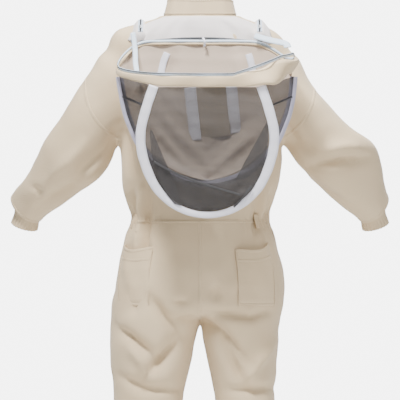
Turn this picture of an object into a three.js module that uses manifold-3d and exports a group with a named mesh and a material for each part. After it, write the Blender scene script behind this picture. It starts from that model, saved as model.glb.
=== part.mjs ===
// Beekeeping suit: a zipped cotton coverall worn by a standing person, arms held out, with its
// hooped veil hood thrown back over the shoulders.
// Millimetres, +Z up. The origin is the middle of the neckline, where the suit hangs from its wearer.
// The wearer faces +Y and +X is the wearer's right hand side seen from behind.
import * as THREE from "three";
import Module from "manifold-3d";

const wasm = await Module();
wasm.setup();

// ---- driving dimensions --------------------------------------------------------------------
const clothThickness = 3;
const seamGap = 0.4;
const hemZ = -1525;
const waistZ = -568;
const sideSeamY = -5;
const bodyExponent = 2.4;
const frontLean = 0.072;
const frontAtNeckline = 82;
const frontFoldZ = -740;
const frontFold = 0.28;
const zipSlotHalf = 5;

// Torso rows from neckline to crotch: height, half width, depth of the back behind the origin.
const torsoRows = [
  [0, 100, 76], [-9, 128, 82], [-17, 155, 86], [-34, 195, 92], [-52, 222, 97], [-75, 240, 102],
  [-110, 246, 108], [-200, 236, 120], [-341, 221, 126], [-457, 221, 120], [-555, 190, 104],
  [-619, 209, 112], [-700, 230, 130], [-742, 235, 134], [-785, 236, 131], [-825, 231, 118],
];
const torsoAngles = [0, 8, 22, 38, 54, 68, 80, 90];

// Left arm rows from shoulder to cuff: centre x, y, z, half width in the frontal plane, half depth.
const armRows = [
  [-120, -6, -112, 88, 55], [-208, -5, -186, 102, 88], [-286, 0, -277, 84, 86],
  [-355, 25, -393, 80, 80], [-424, 85, -474, 62, 62], [-478, 145, -533, 48, 48],
];
// Cuff rows: the narrow cuff starts just inside the wider end of the sleeve.
const cuffRows = [[-479, 146, -537, 36, 36], [-492, 160, -582, 39, 39]];
const shoulderPivot = [-150, -190];
const shoulderRadius = 168;
const armSides = 14;

// Left leg rows from hip to hem: height, centre x, centre y, half width, half depth.
const legRows = [
  [-700, -106, 0, 100, 100], [-842, -117, 0, 113, 118], [-930, -124, 0, 103, 110],
  [-1059, -132, -2, 84, 94], [-1250, -140, -4, 80, 88], [-1400, -145, -8, 74, 80],
  [-1495, -148, -10, 63, 70],
];
const hemRow = [hemZ, -148, -10, 60, 66];
const hipPivot = [-5, -745];
const hipRadius = 172;
const legSides = 16;

// Hood, thrown back: it turns about a line across the nape.
const hoodPivot = [-118, -69];
const hoodLean = 20;
const hoodCloth = 2.4;
const hoodRim = [
  [0, -120, -69], [100, -120, -69], [160, -123, -73], [205, -148, -98],
  [238, -200, -135], [225, -265, -152], [150, -322, -163], [0, -346, -166],
];
const rimBandHeight = 27;
const frontHoop = [
  [145, -330, -200], [166, -326, -262], [181, -316, -330], [172, -303, -402],
  [136, -288, -480], [76, -275, -532], [0, -268, -550],
];
const rearHoop = [
  [238, -207, -172], [230, -204, -230], [214, -200, -292], [172, -192, -376],
  [96, -184, -440], [0, -181, -464],
];
const frontTapeWidth = 26;
const rearTapeWidth = 16;
const tapeThickness = 2.4;
const rodRadius = 2.2;

// ---- materials -----------------------------------------------------------------------------
const paint = (color, roughness, metalness = 0) =>
  new THREE.MeshStandardMaterial({ color, roughness, metalness });
const twill = paint(0xd2c5ae, 0.9);
const paleTwill = paint(0xdedad4, 0.9);
const whiteTape = paint(0xf0eff8, 0.8);
const blueTape = paint(0xcfe0ee, 0.8);
const netting = paint(0x4a453f, 0.8);
const springSteel = paint(0x8f9296, 0.4, 0.9);
const zipMetal = paint(0x8d8f92, 0.35, 0.9);
const zipTeeth = paint(0x5f6368, 0.45, 0.4);

const group = new THREE.Group();
group.name = "beekeeping_suit";

// ---- solids --------------------------------------------------------------------------------
function toManifold(points, triangles) {
  const vertProperties = new Float32Array(points.flat());
  const solid = (faces) => {
    const triVerts = new Uint32Array(faces.flat());
    return new wasm.Manifold(new wasm.Mesh({ numProp: 3, vertProperties, triVerts }));
  };
  const first = solid(triangles);
  if (first.volume() > 0) return first;
  return solid(triangles.map(([a, b, c]) => [a, c, b]));
}

function addNode(name, manifold, material) {
  const mesh = manifold.getMesh();
  const geometry = new THREE.BufferGeometry();
  geometry.setAttribute("position", new THREE.BufferAttribute(mesh.vertProperties.slice(), 3));
  geometry.setIndex([...mesh.triVerts]);
  const node = new THREE.Mesh(geometry, material);
  node.name = name;
  group.add(node);
}

// A solid skinned over a row of convex rings with the same number of points.
function loft(rings) {
  const count = rings[0].length;
  const triangles = [];
  for (let row = 0; row < rings.length - 1; row += 1) {
    for (let i = 0; i < count; i += 1) {
      const a = row * count + i;
      const b = row * count + ((i + 1) % count);
      triangles.push([a, b, a + count], [b, b + count, a + count]);
    }
  }
  const last = (rings.length - 1) * count;
  for (let i = 1; i < count - 1; i += 1) {
    triangles.push([0, i + 1, i], [last, last + i, last + i + 1]);
  }
  return toManifold(rings.flat(), triangles);
}

// A cloth of even thickness behind a grid of points; a wrapped grid closes on itself.
function cloth(grid, thickness, wrapped = false) {
  const rows = grid.length;
  const columns = grid[0].length;
  const at = (row, column) => new THREE.Vector3(...grid[row][column]);
  const clampRow = (row) => Math.min(Math.max(row, 0), rows - 1);
  const wrapColumn = (column) => wrapped
    ? (column + columns) % columns
    : Math.min(Math.max(column, 0), columns - 1);
  const under = grid.map((line, row) => line.map((point, column) => {
    const along = at(row, wrapColumn(column + 1)).sub(at(row, wrapColumn(column - 1)));
    const down = at(clampRow(row + 1), column).sub(at(clampRow(row - 1), column));
    const normal = along.cross(down).normalize();
    return at(row, column).addScaledVector(normal, thickness).toArray();
  }));
  const points = [...grid.flat(), ...under.flat()];
  const total = rows * columns;
  const triangles = [];
  const quad = (a, b, c, d) => triangles.push([a, b, c], [a, c, d]);
  const spans = wrapped ? columns : columns - 1;
  for (let row = 0; row < rows - 1; row += 1) {
    for (let column = 0; column < spans; column += 1) {
      const a = row * columns + column;
      const b = row * columns + wrapColumn(column + 1);
      quad(a, b, b + columns, a + columns);
      quad(total + a, total + a + columns, total + b + columns, total + b);
    }
    if (wrapped) continue;
    const left = row * columns;
    const right = left + columns - 1;
    quad(left, left + columns, total + left + columns, total + left);
    quad(right, total + right, total + right + columns, right + columns);
  }
  const last = (rows - 1) * columns;
  for (let column = 0; column < spans; column += 1) {
    const next = wrapColumn(column + 1);
    quad(column, total + column, total + next, next);
    quad(last + column, last + next, total + last + next, total + last + column);
  }
  return toManifold(points, triangles);
}

// A ribbon or rod of rectangular or round section swept along a path of points.
function sweep(path, across, out, section) {
  const rings = path.map((point, i) => section.map(([w, t]) => [
    point[0] + across[i][0] * w + out[i][0] * t,
    point[1] + across[i][1] * w + out[i][1] * t,
    point[2] + across[i][2] * w + out[i][2] * t,
  ]));
  return loft(rings);
}

const rectangle = (width, low, high) => [
  [-width / 2, low], [width / 2, low], [width / 2, high], [-width / 2, high],
];

function circle(radius, count, centreOut = 0) {
  return Array.from({ length: count }, (_, i) => {
    const angle = (2 * Math.PI * i) / count;
    return [radius * Math.cos(angle), centreOut + radius * Math.sin(angle)];
  });
}

const mirrored = (manifold) => manifold.mirror([1, 0, 0]);

function box(low, high) {
  const size = high.map((value, i) => value - low[i]);
  return wasm.Manifold.cube(size).translate(low);
}

// ---- body surfaces -------------------------------------------------------------------------
const lerp = (a, b, t) => a + (b - a) * t;
const frontY = (z) => frontAtNeckline - frontLean * z - frontFold * Math.max(frontFoldZ - z, 0);

function torsoRowAt(z) {
  const last = torsoRows.length - 1;
  let i = 0;
  while (i < last - 1 && torsoRows[i + 1][0] > z) i += 1;
  const [top, bottom] = [torsoRows[i], torsoRows[i + 1]];
  const t = (z - top[0]) / (bottom[0] - top[0]);
  return [lerp(top[1], bottom[1], t), lerp(top[2], bottom[2], t)];
}

// Point on the torso at an angle in degrees from the front (90 = +X side, 180 = back).
function torsoPoint(degrees, z, offset = 0) {
  const [halfWidth, back] = torsoRowAt(z);
  const angle = THREE.MathUtils.degToRad(degrees);
  const centreY = (frontY(z) - back) / 2;
  const halfDepth = (frontY(z) + back) / 2;
  const round = (value) => Math.sign(value) * Math.abs(value) ** (2 / bodyExponent);
  return [
    (halfWidth + offset) * round(Math.sin(angle)),
    centreY + (halfDepth + offset) * round(Math.cos(angle)),
    z,
  ];
}

function fullTurn(quarter) {
  const half = [...quarter, ...quarter.slice(0, -1).reverse().map((angle) => 180 - angle)];
  return [...half, ...half.slice(1, -1).reverse().map((angle) => 360 - angle)];
}

function torsoSolid(offset) {
  const heights = torsoRows.map(([z]) => z);
  const rings = heights.map((z) => fullTurn(torsoAngles).map((angle) => torsoPoint(angle, z, offset)));
  if (offset === 0) return loft(rings);
  const mouth = rings[0].map(([x, y]) => [x, y, 10]);
  const floor = rings.at(-1).map(([x, y]) => [x, y, torsoRows.at(-1)[0] - offset]);
  return loft([mouth, ...rings.slice(0, -1), floor]);
}

// Rings of the left arm, square to the arm as seen from the front.
function armRings(rows, offset) {
  return rows.map(([x, y, z, halfWidth, halfDepth], i) => {
    const before = rows[Math.max(i - 1, 0)];
    const after = rows[Math.min(i + 1, rows.length - 1)];
    const along = new THREE.Vector3(after[0] - before[0], after[1] - before[1], after[2] - before[2]);
    along.normalize();
    const across = new THREE.Vector3(0, 1, 0).cross(along).normalize();
    const deep = along.clone().cross(across);
    return circle(1, armSides).map(([c, s]) => new THREE.Vector3(x, y, z)
      .addScaledVector(across, c * (halfWidth + offset))
      .addScaledVector(deep, s * (halfDepth + offset))
      .toArray());
  });
}

function legRings(rows, offset) {
  return rows.map(([z, x, y, halfWidth, halfDepth]) => circle(1, legSides).map(([c, s]) => [
    x + c * (halfWidth + offset), y + s * (halfDepth + offset), z,
  ]));
}

// The same rings with the last one carried on, so that a hollow runs out through the open end.
function carriedOn(rings, distance) {
  const [before, last] = rings.slice(-2);
  const step = last.map((point, i) => {
    const along = new THREE.Vector3(...point).sub(new THREE.Vector3(...before[i])).normalize();
    return new THREE.Vector3(...point).addScaledVector(along, distance).toArray();
  });
  return [...rings, step];
}

// ---- the sewn garment ----------------------------------------------------------------------
const armSolid = loft(armRings(armRows, 0));
const legSolid = loft(legRings(legRows, 0));
const armHollow = loft(carriedOn(armRings(armRows, -clothThickness), 20));
const legHollow = loft(carriedOn(legRings(legRows, -clothThickness), 20));
const union = (...solids) => wasm.Manifold.union(solids);
const outer = union(torsoSolid(0), armSolid, mirrored(armSolid), legSolid, mirrored(legSolid));
const inner = union(
  torsoSolid(-clothThickness), armHollow, mirrored(armHollow), legHollow, mirrored(legHollow),
);
const garment = outer.subtract(inner);

const cutterSegments = 64;
function shoulderCutter(radius) {
  return wasm.Manifold.cylinder(800, radius, radius, cutterSegments, true)
    .rotate([90, 0, 0]).translate([shoulderPivot[0], 0, shoulderPivot[1]]);
}
function hipCutter(radius) {
  return wasm.Manifold.cylinder(800, radius, radius, cutterSegments, true)
    .rotate([0, 90, 0]).translate([0, hipPivot[0], hipPivot[1]]);
}
const armZone = (growth, radius) => loft(carriedOn(armRings(armRows, growth), 5))
  .subtract(shoulderCutter(radius));
const belowHip = (radius) => box([-600, -400, -1600], [600, 400, hipPivot[1]])
  .subtract(hipCutter(radius));

const innerRadius = shoulderRadius - seamGap - 0.2;
const bodice = garment
  .subtract(armZone(1.5, innerRadius))
  .subtract(mirrored(armZone(1.5, innerRadius)))
  .subtract(belowHip(hipRadius - seamGap - 0.2))
  .subtract(box([-zipSlotHalf, 0, -740], [zipSlotHalf, 400, 50]));
const sleeve = garment.intersect(armZone(1, shoulderRadius));
const legs = garment.intersect(belowHip(hipRadius));

const far = 900;
const half = seamGap / 2;
const above = waistZ + half;
const below = waistZ - half;
const front = sideSeamY + half;
const back = sideSeamY - half;
addNode("bodice_back", bodice.intersect(box([-far, -far, above], [far, back, far])), twill);
for (const [side, low, high] of [["left", -far, -half], ["right", half, far]]) {
  const take = (solid, yLow, yHigh, zLow, zHigh) =>
    solid.intersect(box([low, yLow, zLow], [high, yHigh, zHigh]));
  addNode(`bodice_front_${side}`, take(bodice, front, far, above, far), twill);
  addNode(`seat_front_${side}`, take(bodice, front, far, -2000, below), twill);
  addNode(`seat_back_${side}`, take(bodice, -far, back, -2000, below), twill);
  addNode(`leg_front_${side}`, take(legs, front, far, -2000, far), twill);
  addNode(`leg_back_${side}`, take(legs, -far, back, -2000, far), twill);
}
addNode("sleeve_left", sleeve, twill);
addNode("sleeve_right", mirrored(sleeve), twill);

// Elasticated cuffs inside the sleeve ends, and ankle hems butted on the ends of the legs.
const backwards = (rings) => carriedOn([...rings].reverse(), 20).reverse();
const cuff = loft(armRings(cuffRows, 0))
  .subtract(loft(backwards(carriedOn(armRings(cuffRows, -clothThickness), 20))));
const lastLeg = legRows.at(-1);
const hemStart = lastLeg.map((value, i) => lerp(value, hemRow[i], 0.015));
const hem = loft(legRings([hemStart, hemRow], 0))
  .subtract(loft(carriedOn(legRings([lastLeg, hemRow], -clothThickness), 20)));
addNode("cuff_left", cuff, twill);
addNode("cuff_right", mirrored(cuff), twill);
addNode("ankle_hem_left", hem, twill);
addNode("ankle_hem_right", mirrored(hem), twill);

// ---- pieces laid on the torso --------------------------------------------------------------
const range = (from, to, steps) => Array.from({ length: steps + 1 }, (_, i) => lerp(from, to, i / steps));

function torsoPatch(angles, heights, lift, thickness) {
  const grid = heights.map((z, row) => angles.map((angle, column) => torsoPoint(
    angle, z, lift(column / (angles.length - 1), row / (heights.length - 1)) + thickness,
  )));
  return cloth(grid, thickness);
}

// Stand collar, open at the front, rising from the neckline.
const collarHeight = 45;
const collarThickness = 2.5;
const collarAngles = [5, 12, 24, 40, 58, 75, 90, 105, 122, 140, 160, 180];
const collarTurn = [...collarAngles, ...collarAngles.slice(0, -1).reverse().map((angle) => 360 - angle)];
const collarGrid = [1.2, collarHeight / 2, collarHeight].map((z) => collarTurn.map((angle) => {
  const [x, y] = torsoPoint(angle, 0);
  const taper = 1 - 0.1 * (z / collarHeight);
  return [x * taper, y > 0 ? frontY(z) * (y / frontAtNeckline) : y * taper, z];
}));
const collar = cloth(collarGrid, collarThickness)
  .subtract(box([-zipSlotHalf, 0, -10], [zipSlotHalf, 400, 60]));
addNode("collar", collar, twill);

// Nape flap over the hood seam, elastic casings at the sides of the waist, hip pockets.
addNode("nape_flap", torsoPatch(range(124, 236, 10), [-4, -20, -44, -66], () => 1.2, 2), paleTwill);
const casing = (from, to) => torsoPatch(range(from, to, 6), [-546, -568, -590], () => 1.5, 2.5);
addNode("waist_elastic_right", casing(58, 128), twill);
addNode("waist_elastic_left", casing(232, 302), twill);
const pocketHeights = [-634, -660, -700, -750, -800];
const pocketMouth = (u, v) => 1.6 + 13 * Math.sin(Math.PI * u) * (1 - v) ** 1.3;
addNode("hip_pocket_right", torsoPatch(range(122, 158, 6), pocketHeights, pocketMouth, 2.2), twill);
addNode("hip_pocket_left", torsoPatch(range(212, 250, 6), pocketHeights, pocketMouth, 2.2), twill);

// ---- front zip -----------------------------------------------------------------------------
const zipTop = 42;
const zipBottom = -736;
const zipDepth = clothThickness + 1.2;
const zipEnds = [zipTop, zipBottom].map((z) => [0, frontY(z) - zipDepth, z]);
const sideways = [[1, 0, 0], [1, 0, 0]];
const forward = [[0, 1, 0], [0, 1, 0]];
const zipStrip = (from, to, low, high) =>
  sweep(zipEnds, sideways, forward, [[from, low], [to, low], [to, high], [from, high]]);
const zipTape = zipStrip(0.8, 16, -1, 0);
const zipRow = zipStrip(0.3, 2.6, 0.3, 3.6);
addNode("front_zip_tape_right", zipTape, blueTape);
addNode("front_zip_tape_left", mirrored(zipTape), blueTape);
addNode("front_zip_teeth_right", zipRow, zipTeeth);
addNode("front_zip_teeth_left", mirrored(zipRow), zipTeeth);

// A slider: a waisted body with a bridge that its pull tab hangs from.
function sliderBody(length, width, height) {
  const body = box([-width / 2, 0, -length / 2], [width / 2, height * 0.55, length / 2]);
  const bridge = box([-width / 6, height * 0.55 - 1, -length / 3], [width / 6, height, length / 3]);
  return union(body, bridge);
}
// A pull tab hanging from its top edge at the origin, with a slot at its lower end.
function pullTab(length, width, thickness) {
  const plate = box([-width / 2, 0, -length], [width / 2, thickness, 0]);
  const slot = box([-width / 5, -1, -length * 0.85], [width / 5, thickness + 1, -length * 0.45]);
  return plate.subtract(slot);
}
const zipTilt = -THREE.MathUtils.radToDeg(Math.atan(frontLean));
const sliderZ = -16;
const sliderY = frontY(sliderZ) + 0.6;
addNode("front_zip_slider", sliderBody(15, 9.5, 7).rotate([-zipTilt, 0, 0])
  .translate([0, sliderY, sliderZ]), zipMetal);
addNode("front_zip_pull", pullTab(24, 7, 1.4)
  .translate([0, sliderY + 8, sliderZ + 2]), zipMetal);

// ---- neck zip over each shoulder -----------------------------------------------------------
const neckZipX = 164;
const neckZipCentre = [-8, -125];
const neckZipRadius = 114;
const neckZipHalfAngle = 46;
const neckAngles = range(-neckZipHalfAngle, neckZipHalfAngle, 12).map(THREE.MathUtils.degToRad);
const neckPath = neckAngles.map((angle) => [
  neckZipX,
  neckZipCentre[0] + neckZipRadius * Math.sin(angle),
  neckZipCentre[1] + neckZipRadius * Math.cos(angle),
]);
const neckAcross = neckAngles.map(() => [1, 0, 0]);
const neckOut = neckAngles.map((angle) => [0, Math.sin(angle), Math.cos(angle)]);
const neckTape = sweep(neckPath, neckAcross, neckOut, rectangle(14, 0, 1.2));
const neckTeeth = sweep(neckPath, neckAcross, neckOut, rectangle(4, 1.5, 3.2));
const parkAngle = 38;
const neckSlider = sliderBody(11, 8, 5).rotate([-90, 0, 0]).rotate([180, 0, 0])
  .translate([0, 0, neckZipRadius + 3.6]).rotate([parkAngle, 0, 0])
  .translate([neckZipX, neckZipCentre[0], neckZipCentre[1]]);
for (const [side, place] of [["right", (solid) => solid], ["left", mirrored]]) {
  addNode(`neck_zip_tape_${side}`, place(neckTape), blueTape);
  addNode(`neck_zip_teeth_${side}`, place(neckTeeth), zipTeeth);
  addNode(`neck_zip_slider_${side}`, place(neckSlider), zipMetal);
}

// ---- hood ----------------------------------------------------------------------------------
// The hood hangs a little to the right: the lean grows with distance from the nape line.
function leaned([x, y, z]) {
  const away = Math.hypot(y - hoodPivot[0], z - hoodPivot[1]);
  return [x + hoodLean * Math.min(away / 150, 1), y, z];
}

const mirrorPoints = (points) => points.map(([x, y, z]) => [-x, y, z]);

// Evenly spaced points along a curve through the given points of the right half and its mirror.
function symmetricCurve(half, count, closed) {
  const left = mirrorPoints(half).reverse();
  const points = closed
    ? [...half, ...left.slice(1, -1)]
    : [...half, ...left.slice(1)];
  const curve = new THREE.CatmullRomCurve3(
    points.map((point) => new THREE.Vector3(...leaned(point))), closed, "centripetal",
  );
  const found = curve.getSpacedPoints(count).map((point) => point.toArray());
  return closed ? found.slice(0, -1) : found;
}

const rimLoop = symmetricCurve(hoodRim, 28, true);
const lower = (points, drop) => points.map(([x, y, z]) => [x, y, z - drop]);
const rimBand = cloth([lower(rimLoop, 9), lower(rimLoop, rimBandHeight)], hoodCloth, true);
const rimTape = cloth([rimLoop, lower(rimLoop, 8.4)], 1.6, true);
addNode("hood_rim_band", rimBand, paleTwill);
addNode("hood_rim_zip_tape", rimTape, blueTape);

// In-plane direction across a hoop at each point, pointing to the outside of the hoop.
function outwardAlong(path) {
  return path.map((point, i) => {
    const before = new THREE.Vector3(...path[Math.max(i - 1, 0)]);
    const after = new THREE.Vector3(...path[Math.min(i + 1, path.length - 1)]);
    const along = after.sub(before).normalize();
    return along.cross(new THREE.Vector3(0, 1, 0)).normalize().toArray();
  });
}

const shifted = (path, directions, distance) => path.map((point, i) =>
  point.map((value, axis) => value + directions[i][axis] * distance));

function hoop(name, path, width) {
  const across = outwardAlong(path);
  const behind = path.map(() => [0, -1, 0]);
  addNode(`${name}_tape`, sweep(path, across, behind, rectangle(width, 0, tapeThickness)), whiteTape);
  const rod = circle(rodRadius, 6, -rodRadius - 0.4);
  addNode(`${name}_rod`, sweep(path, across, behind, rod), springSteel);
  return across;
}

const frontPath = symmetricCurve(frontHoop, 24, false);
const rearPath = symmetricCurve(rearHoop, 24, false);
const frontAcross = hoop("front_hoop", frontPath, frontTapeWidth);
const rearAcross = hoop("rear_hoop", rearPath, rearTapeWidth);
const outside = (width) => width / 2 + 1;

// Netting between the two hoops, from behind the rod of one to the face of the other.
const sideFront = frontPath.map(([x, y, z]) => [x, y + 7, z]);
const sideRear = rearPath.map(([x, y, z]) => [x, y - 5, z]);
const between = sideFront.map((point, i) =>
  point.map((value, axis) => lerp(value, sideRear[i][axis], 0.5)));
addNode("hood_side_net", cloth([sideFront, between, sideRear], 1.6), netting);

// A panel stretched across a hoop, row by row from the top; depth is set by a bulge function.
function hoopPanel(path, rowCount, columnCount, bulge) {
  const halfCount = (path.length - 1) / 2;
  return range(0, halfCount - 1, rowCount).map((index, row) => {
    const near = Math.round(index);
    const right = path[near];
    const left = path[path.length - 1 - near];
    return range(0, 1, columnCount).map((u) => {
      const [dy, dz] = bulge(u, row / rowCount);
      return [lerp(right[0], left[0], u), lerp(right[1], left[1], u) + dy, lerp(right[2], left[2], u) + dz];
    });
  });
}

const frontInside = shifted(frontPath, frontAcross, -outside(frontTapeWidth));
const arch = (u) => Math.sin(Math.PI * u);
const faceGrid = hoopPanel(frontInside, 8, 8, (u, v) => [-14 * arch(u) * (1 - v), 0]);
addNode("hood_face_net", cloth(faceGrid, 1.6), netting);

// The back panel hangs from the nape side of the rim and fills the rear hoop.
const rearInside = shifted(rearPath, rearAcross, -outside(rearTapeWidth));
const napeEdge = [...rimLoop.slice(-9), ...rimLoop.slice(0, 10)].reverse();
const napeCurve = new THREE.CatmullRomCurve3(lower(napeEdge, rimBandHeight + 1)
  .map((point) => new THREE.Vector3(...point)));
const backGrid = hoopPanel(rearInside, 8, 12, (u, v) => {
  const edge = napeCurve.getPointAt(u);
  const [right, left] = [rearInside[0], rearInside.at(-1)];
  const rise = (axis) => edge.getComponent(axis) - lerp(right[axis], left[axis], u);
  const fade = (1 - v) ** 0.8;
  return [lerp(30, rise(1), fade) * arch(u) ** 0.5, rise(2) * fade * arch(u) ** 0.35];
});
addNode("hood_back_panel", cloth(backGrid, hoodCloth), twill);

export default group;
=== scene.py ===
"""Beekeeping suit: the looks of a zipped cotton coverall with its hooped veil hood thrown back."""
import math

import bmesh
import bpy
import numpy as np
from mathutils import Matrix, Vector, noise


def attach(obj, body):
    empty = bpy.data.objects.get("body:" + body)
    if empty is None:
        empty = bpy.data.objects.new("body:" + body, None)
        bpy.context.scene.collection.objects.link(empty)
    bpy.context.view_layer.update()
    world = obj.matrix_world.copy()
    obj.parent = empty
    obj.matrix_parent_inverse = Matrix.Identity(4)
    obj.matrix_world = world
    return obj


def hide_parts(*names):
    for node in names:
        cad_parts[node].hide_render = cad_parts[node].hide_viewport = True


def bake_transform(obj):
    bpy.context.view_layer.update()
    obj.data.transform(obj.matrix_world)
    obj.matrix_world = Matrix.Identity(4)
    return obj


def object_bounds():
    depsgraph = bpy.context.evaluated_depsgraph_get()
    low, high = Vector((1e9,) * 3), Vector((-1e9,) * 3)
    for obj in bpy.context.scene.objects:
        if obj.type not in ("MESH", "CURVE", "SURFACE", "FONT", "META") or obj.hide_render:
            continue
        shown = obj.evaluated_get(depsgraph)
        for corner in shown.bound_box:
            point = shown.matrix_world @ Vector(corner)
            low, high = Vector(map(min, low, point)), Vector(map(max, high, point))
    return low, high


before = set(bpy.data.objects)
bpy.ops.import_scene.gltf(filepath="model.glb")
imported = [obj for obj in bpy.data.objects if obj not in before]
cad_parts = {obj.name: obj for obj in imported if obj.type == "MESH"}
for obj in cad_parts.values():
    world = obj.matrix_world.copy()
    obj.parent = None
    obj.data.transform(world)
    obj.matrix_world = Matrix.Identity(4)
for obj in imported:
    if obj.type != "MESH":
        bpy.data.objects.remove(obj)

cad_low, cad_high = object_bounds()

# ---- driving dimensions, in metres -----------------------------------------------------------
CLOTH = 0.0014
VOXEL = 0.0085
RELAX_STEPS = 14
OPEN_END_RUN_ON = 0.03
WAIST_Z = -0.568
HEM_Z = -1.525
ANKLE_SEAM_Z = -1.495
SIDE_SEAM_Y = -0.005
BODY_EXPONENT = 2.4
TORSO_SIDES = 72
LIMB_SIDES = 40
FRONT_Y = 0.082
FRONT_LEAN = 0.072
FRONT_FOLD_Z = -0.740
FRONT_FOLD = 0.28
ZIP_SLOT_HALF = 0.005
# The hinges: the shoulder's x and z, the hip's y and z, and the round borders of the panels on them.
SHOULDER = (0.150, -0.190)
SHOULDER_RADIUS = 0.168
HIP = (-0.005, -0.745)
HIP_RADIUS = 0.172
# Where the sleeve leaves the side of the trunk, and what is past it is forearm.
TRUNK_SIDE_X = 0.2225
TRUNK_SIDE_FLARE = 0.35
UNDERARM_Z = -0.341
FOREARM_X = 0.35

# Torso rows: height, half width, depth of the back.
TORSO_ROWS = [
    (0.02, 0.100, 0.076), (0.0, 0.100, 0.076), (-0.009, 0.128, 0.082), (-0.017, 0.155, 0.086),
    (-0.034, 0.195, 0.092), (-0.052, 0.222, 0.097), (-0.075, 0.240, 0.102), (-0.110, 0.246, 0.108),
    (-0.200, 0.236, 0.120), (-0.341, 0.221, 0.126), (-0.457, 0.221, 0.120), (-0.555, 0.190, 0.104),
    (-0.619, 0.209, 0.112), (-0.700, 0.230, 0.130), (-0.742, 0.235, 0.134), (-0.785, 0.236, 0.131),
    (-0.825, 0.231, 0.118),
]
# Left arm rows: centre x, y, z, half width seen from behind, half depth.
ARM_ROWS = [
    (-0.120, -0.006, -0.112, 0.088, 0.055), (-0.208, -0.005, -0.186, 0.102, 0.088),
    (-0.286, 0.000, -0.277, 0.084, 0.086), (-0.355, 0.025, -0.393, 0.080, 0.080),
    (-0.424, 0.085, -0.474, 0.062, 0.062), (-0.478, 0.145, -0.533, 0.048, 0.048),
]
CUFF_ENDS = [(-0.479, 0.146, -0.537), (-0.492, 0.160, -0.582)]
# Left leg rows: height, centre x, centre y, half width, half depth.
LEG_ROWS = [
    (-0.700, -0.106, 0.000, 0.100, 0.100), (-0.842, -0.117, 0.000, 0.113, 0.118),
    (-0.930, -0.124, 0.000, 0.103, 0.110), (-1.059, -0.132, -0.002, 0.084, 0.094),
    (-1.250, -0.140, -0.004, 0.080, 0.088), (-1.400, -0.145, -0.008, 0.074, 0.080),
    (-1.495, -0.148, -0.010, 0.063, 0.070), (-1.525, -0.148, -0.010, 0.060, 0.066),
    (-1.550, -0.148, -0.010, 0.060, 0.066),
]


def front_y(z):
    return FRONT_Y - FRONT_LEAN * z - FRONT_FOLD * max(FRONT_FOLD_Z - z, 0.0)


# ---- mesh helpers ----------------------------------------------------------------------------
def new_object(name, vertices, faces):
    mesh = bpy.data.meshes.new(name)
    mesh.from_pydata([tuple(v) for v in vertices], [], faces)
    mesh.validate()
    piece = bpy.data.objects.new(name, mesh)
    bpy.context.scene.collection.objects.link(piece)
    return piece


def loft(rings):
    """Closed form through rings of the same count, with a face at each end."""
    count = len(rings[0])
    faces = []
    for row in range(len(rings) - 1):
        for i in range(count):
            a = row * count + i
            b = row * count + (i + 1) % count
            faces.append((a, b, b + count, a + count))
    last = (len(rings) - 1) * count
    faces.append(tuple(reversed(range(count))))
    faces.append(tuple(range(last, last + count)))
    return [p for ring in rings for p in ring], faces


def baked(piece):
    """The piece's mesh with its modifiers applied, in place of its own."""
    graph = bpy.context.evaluated_depsgraph_get()
    mesh = bpy.data.meshes.new_from_object(piece.evaluated_get(graph))
    piece.modifiers.clear()
    piece.data = mesh
    return piece


def values_of(items, attribute, width, kind=float):
    """One attribute of every item of a mesh, a row each."""
    flat = np.empty(len(items) * width, kind)
    items.foreach_get(attribute, flat)
    return flat.reshape(-1, width)


def coordinates(mesh):
    return values_of(mesh.vertices, "co", 3)


def edge_pairs(mesh):
    return values_of(mesh.edges, "vertices", 2, int)


def unit(vectors):
    """The same directions, each of length 1."""
    v = np.array(vectors, float)
    return v / np.maximum(np.linalg.norm(v, axis=-1, keepdims=True), 1e-9)


def level(directions):
    """The same directions with no rise, each of length 1."""
    flat = np.array(directions, float)
    flat[:, 2] = 0
    return unit(flat)


def alike(direction, line):
    """One direction for every point of a line."""
    return np.tile(np.array(direction, float), (len(line), 1))


def run_along(points):
    """How far along its line each point is."""
    return np.concatenate([[0], np.cumsum(np.linalg.norm(np.diff(points, axis=0), axis=1))])


def at_places(places, run, points):
    """A line's points, interpolated at the given places of its run."""
    return np.stack([np.interp(places, run, column) for column in points.T], -1)


def turns(count):
    return [2 * math.pi * k / count for k in range(count)]


def add_part(vertices, faces, more, more_faces):
    """Adds one mesh's vertices and faces to another's lists."""
    start = len(vertices)
    vertices += more
    faces += [tuple(start + i for i in face) for face in more_faces]


def set_uv(piece, place):
    """Gives each corner of the mesh the UV of its vertex."""
    layers = piece.data.uv_layers
    layer = layers[0] if layers else layers.new(name="UVMap")
    for loop in piece.data.loops:
        layer.data[loop.index].uv = place(loop.vertex_index)
    return piece


def relaxed(co, pairs, steps, factor=0.5):
    """Points drawn towards the mean of their neighbours."""
    degree = np.bincount(pairs.ravel(), minlength=len(co)).astype(float)[:, None]
    for _ in range(steps):
        total = np.zeros_like(co)
        np.add.at(total, pairs[:, 0], co[pairs[:, 1]])
        np.add.at(total, pairs[:, 1], co[pairs[:, 0]])
        co = co + factor * (total / np.maximum(degree, 1) - co)
    return co


# ---- the body form ---------------------------------------------------------------------------
def on_level(row, angle, lift=0.0):
    """The point of one level of the trunk at an angle from the front, lifted off the surface."""
    z, half_width, back = row
    centre, half_depth = (front_y(z) - back) / 2, (front_y(z) + back) / 2
    s, c = math.sin(angle), math.cos(angle)
    power = 2 / BODY_EXPONENT
    return (
        math.copysign(abs(s) ** power, s) * (half_width + lift),
        centre + math.copysign(abs(c) ** power, c) * (half_depth + lift), z,
    )


def frame_across(along):
    """Two directions square to a limb's run: across it, and through its depth."""
    across = unit(np.cross((0, 1, 0), along))
    return across, np.cross(along, across)


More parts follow.
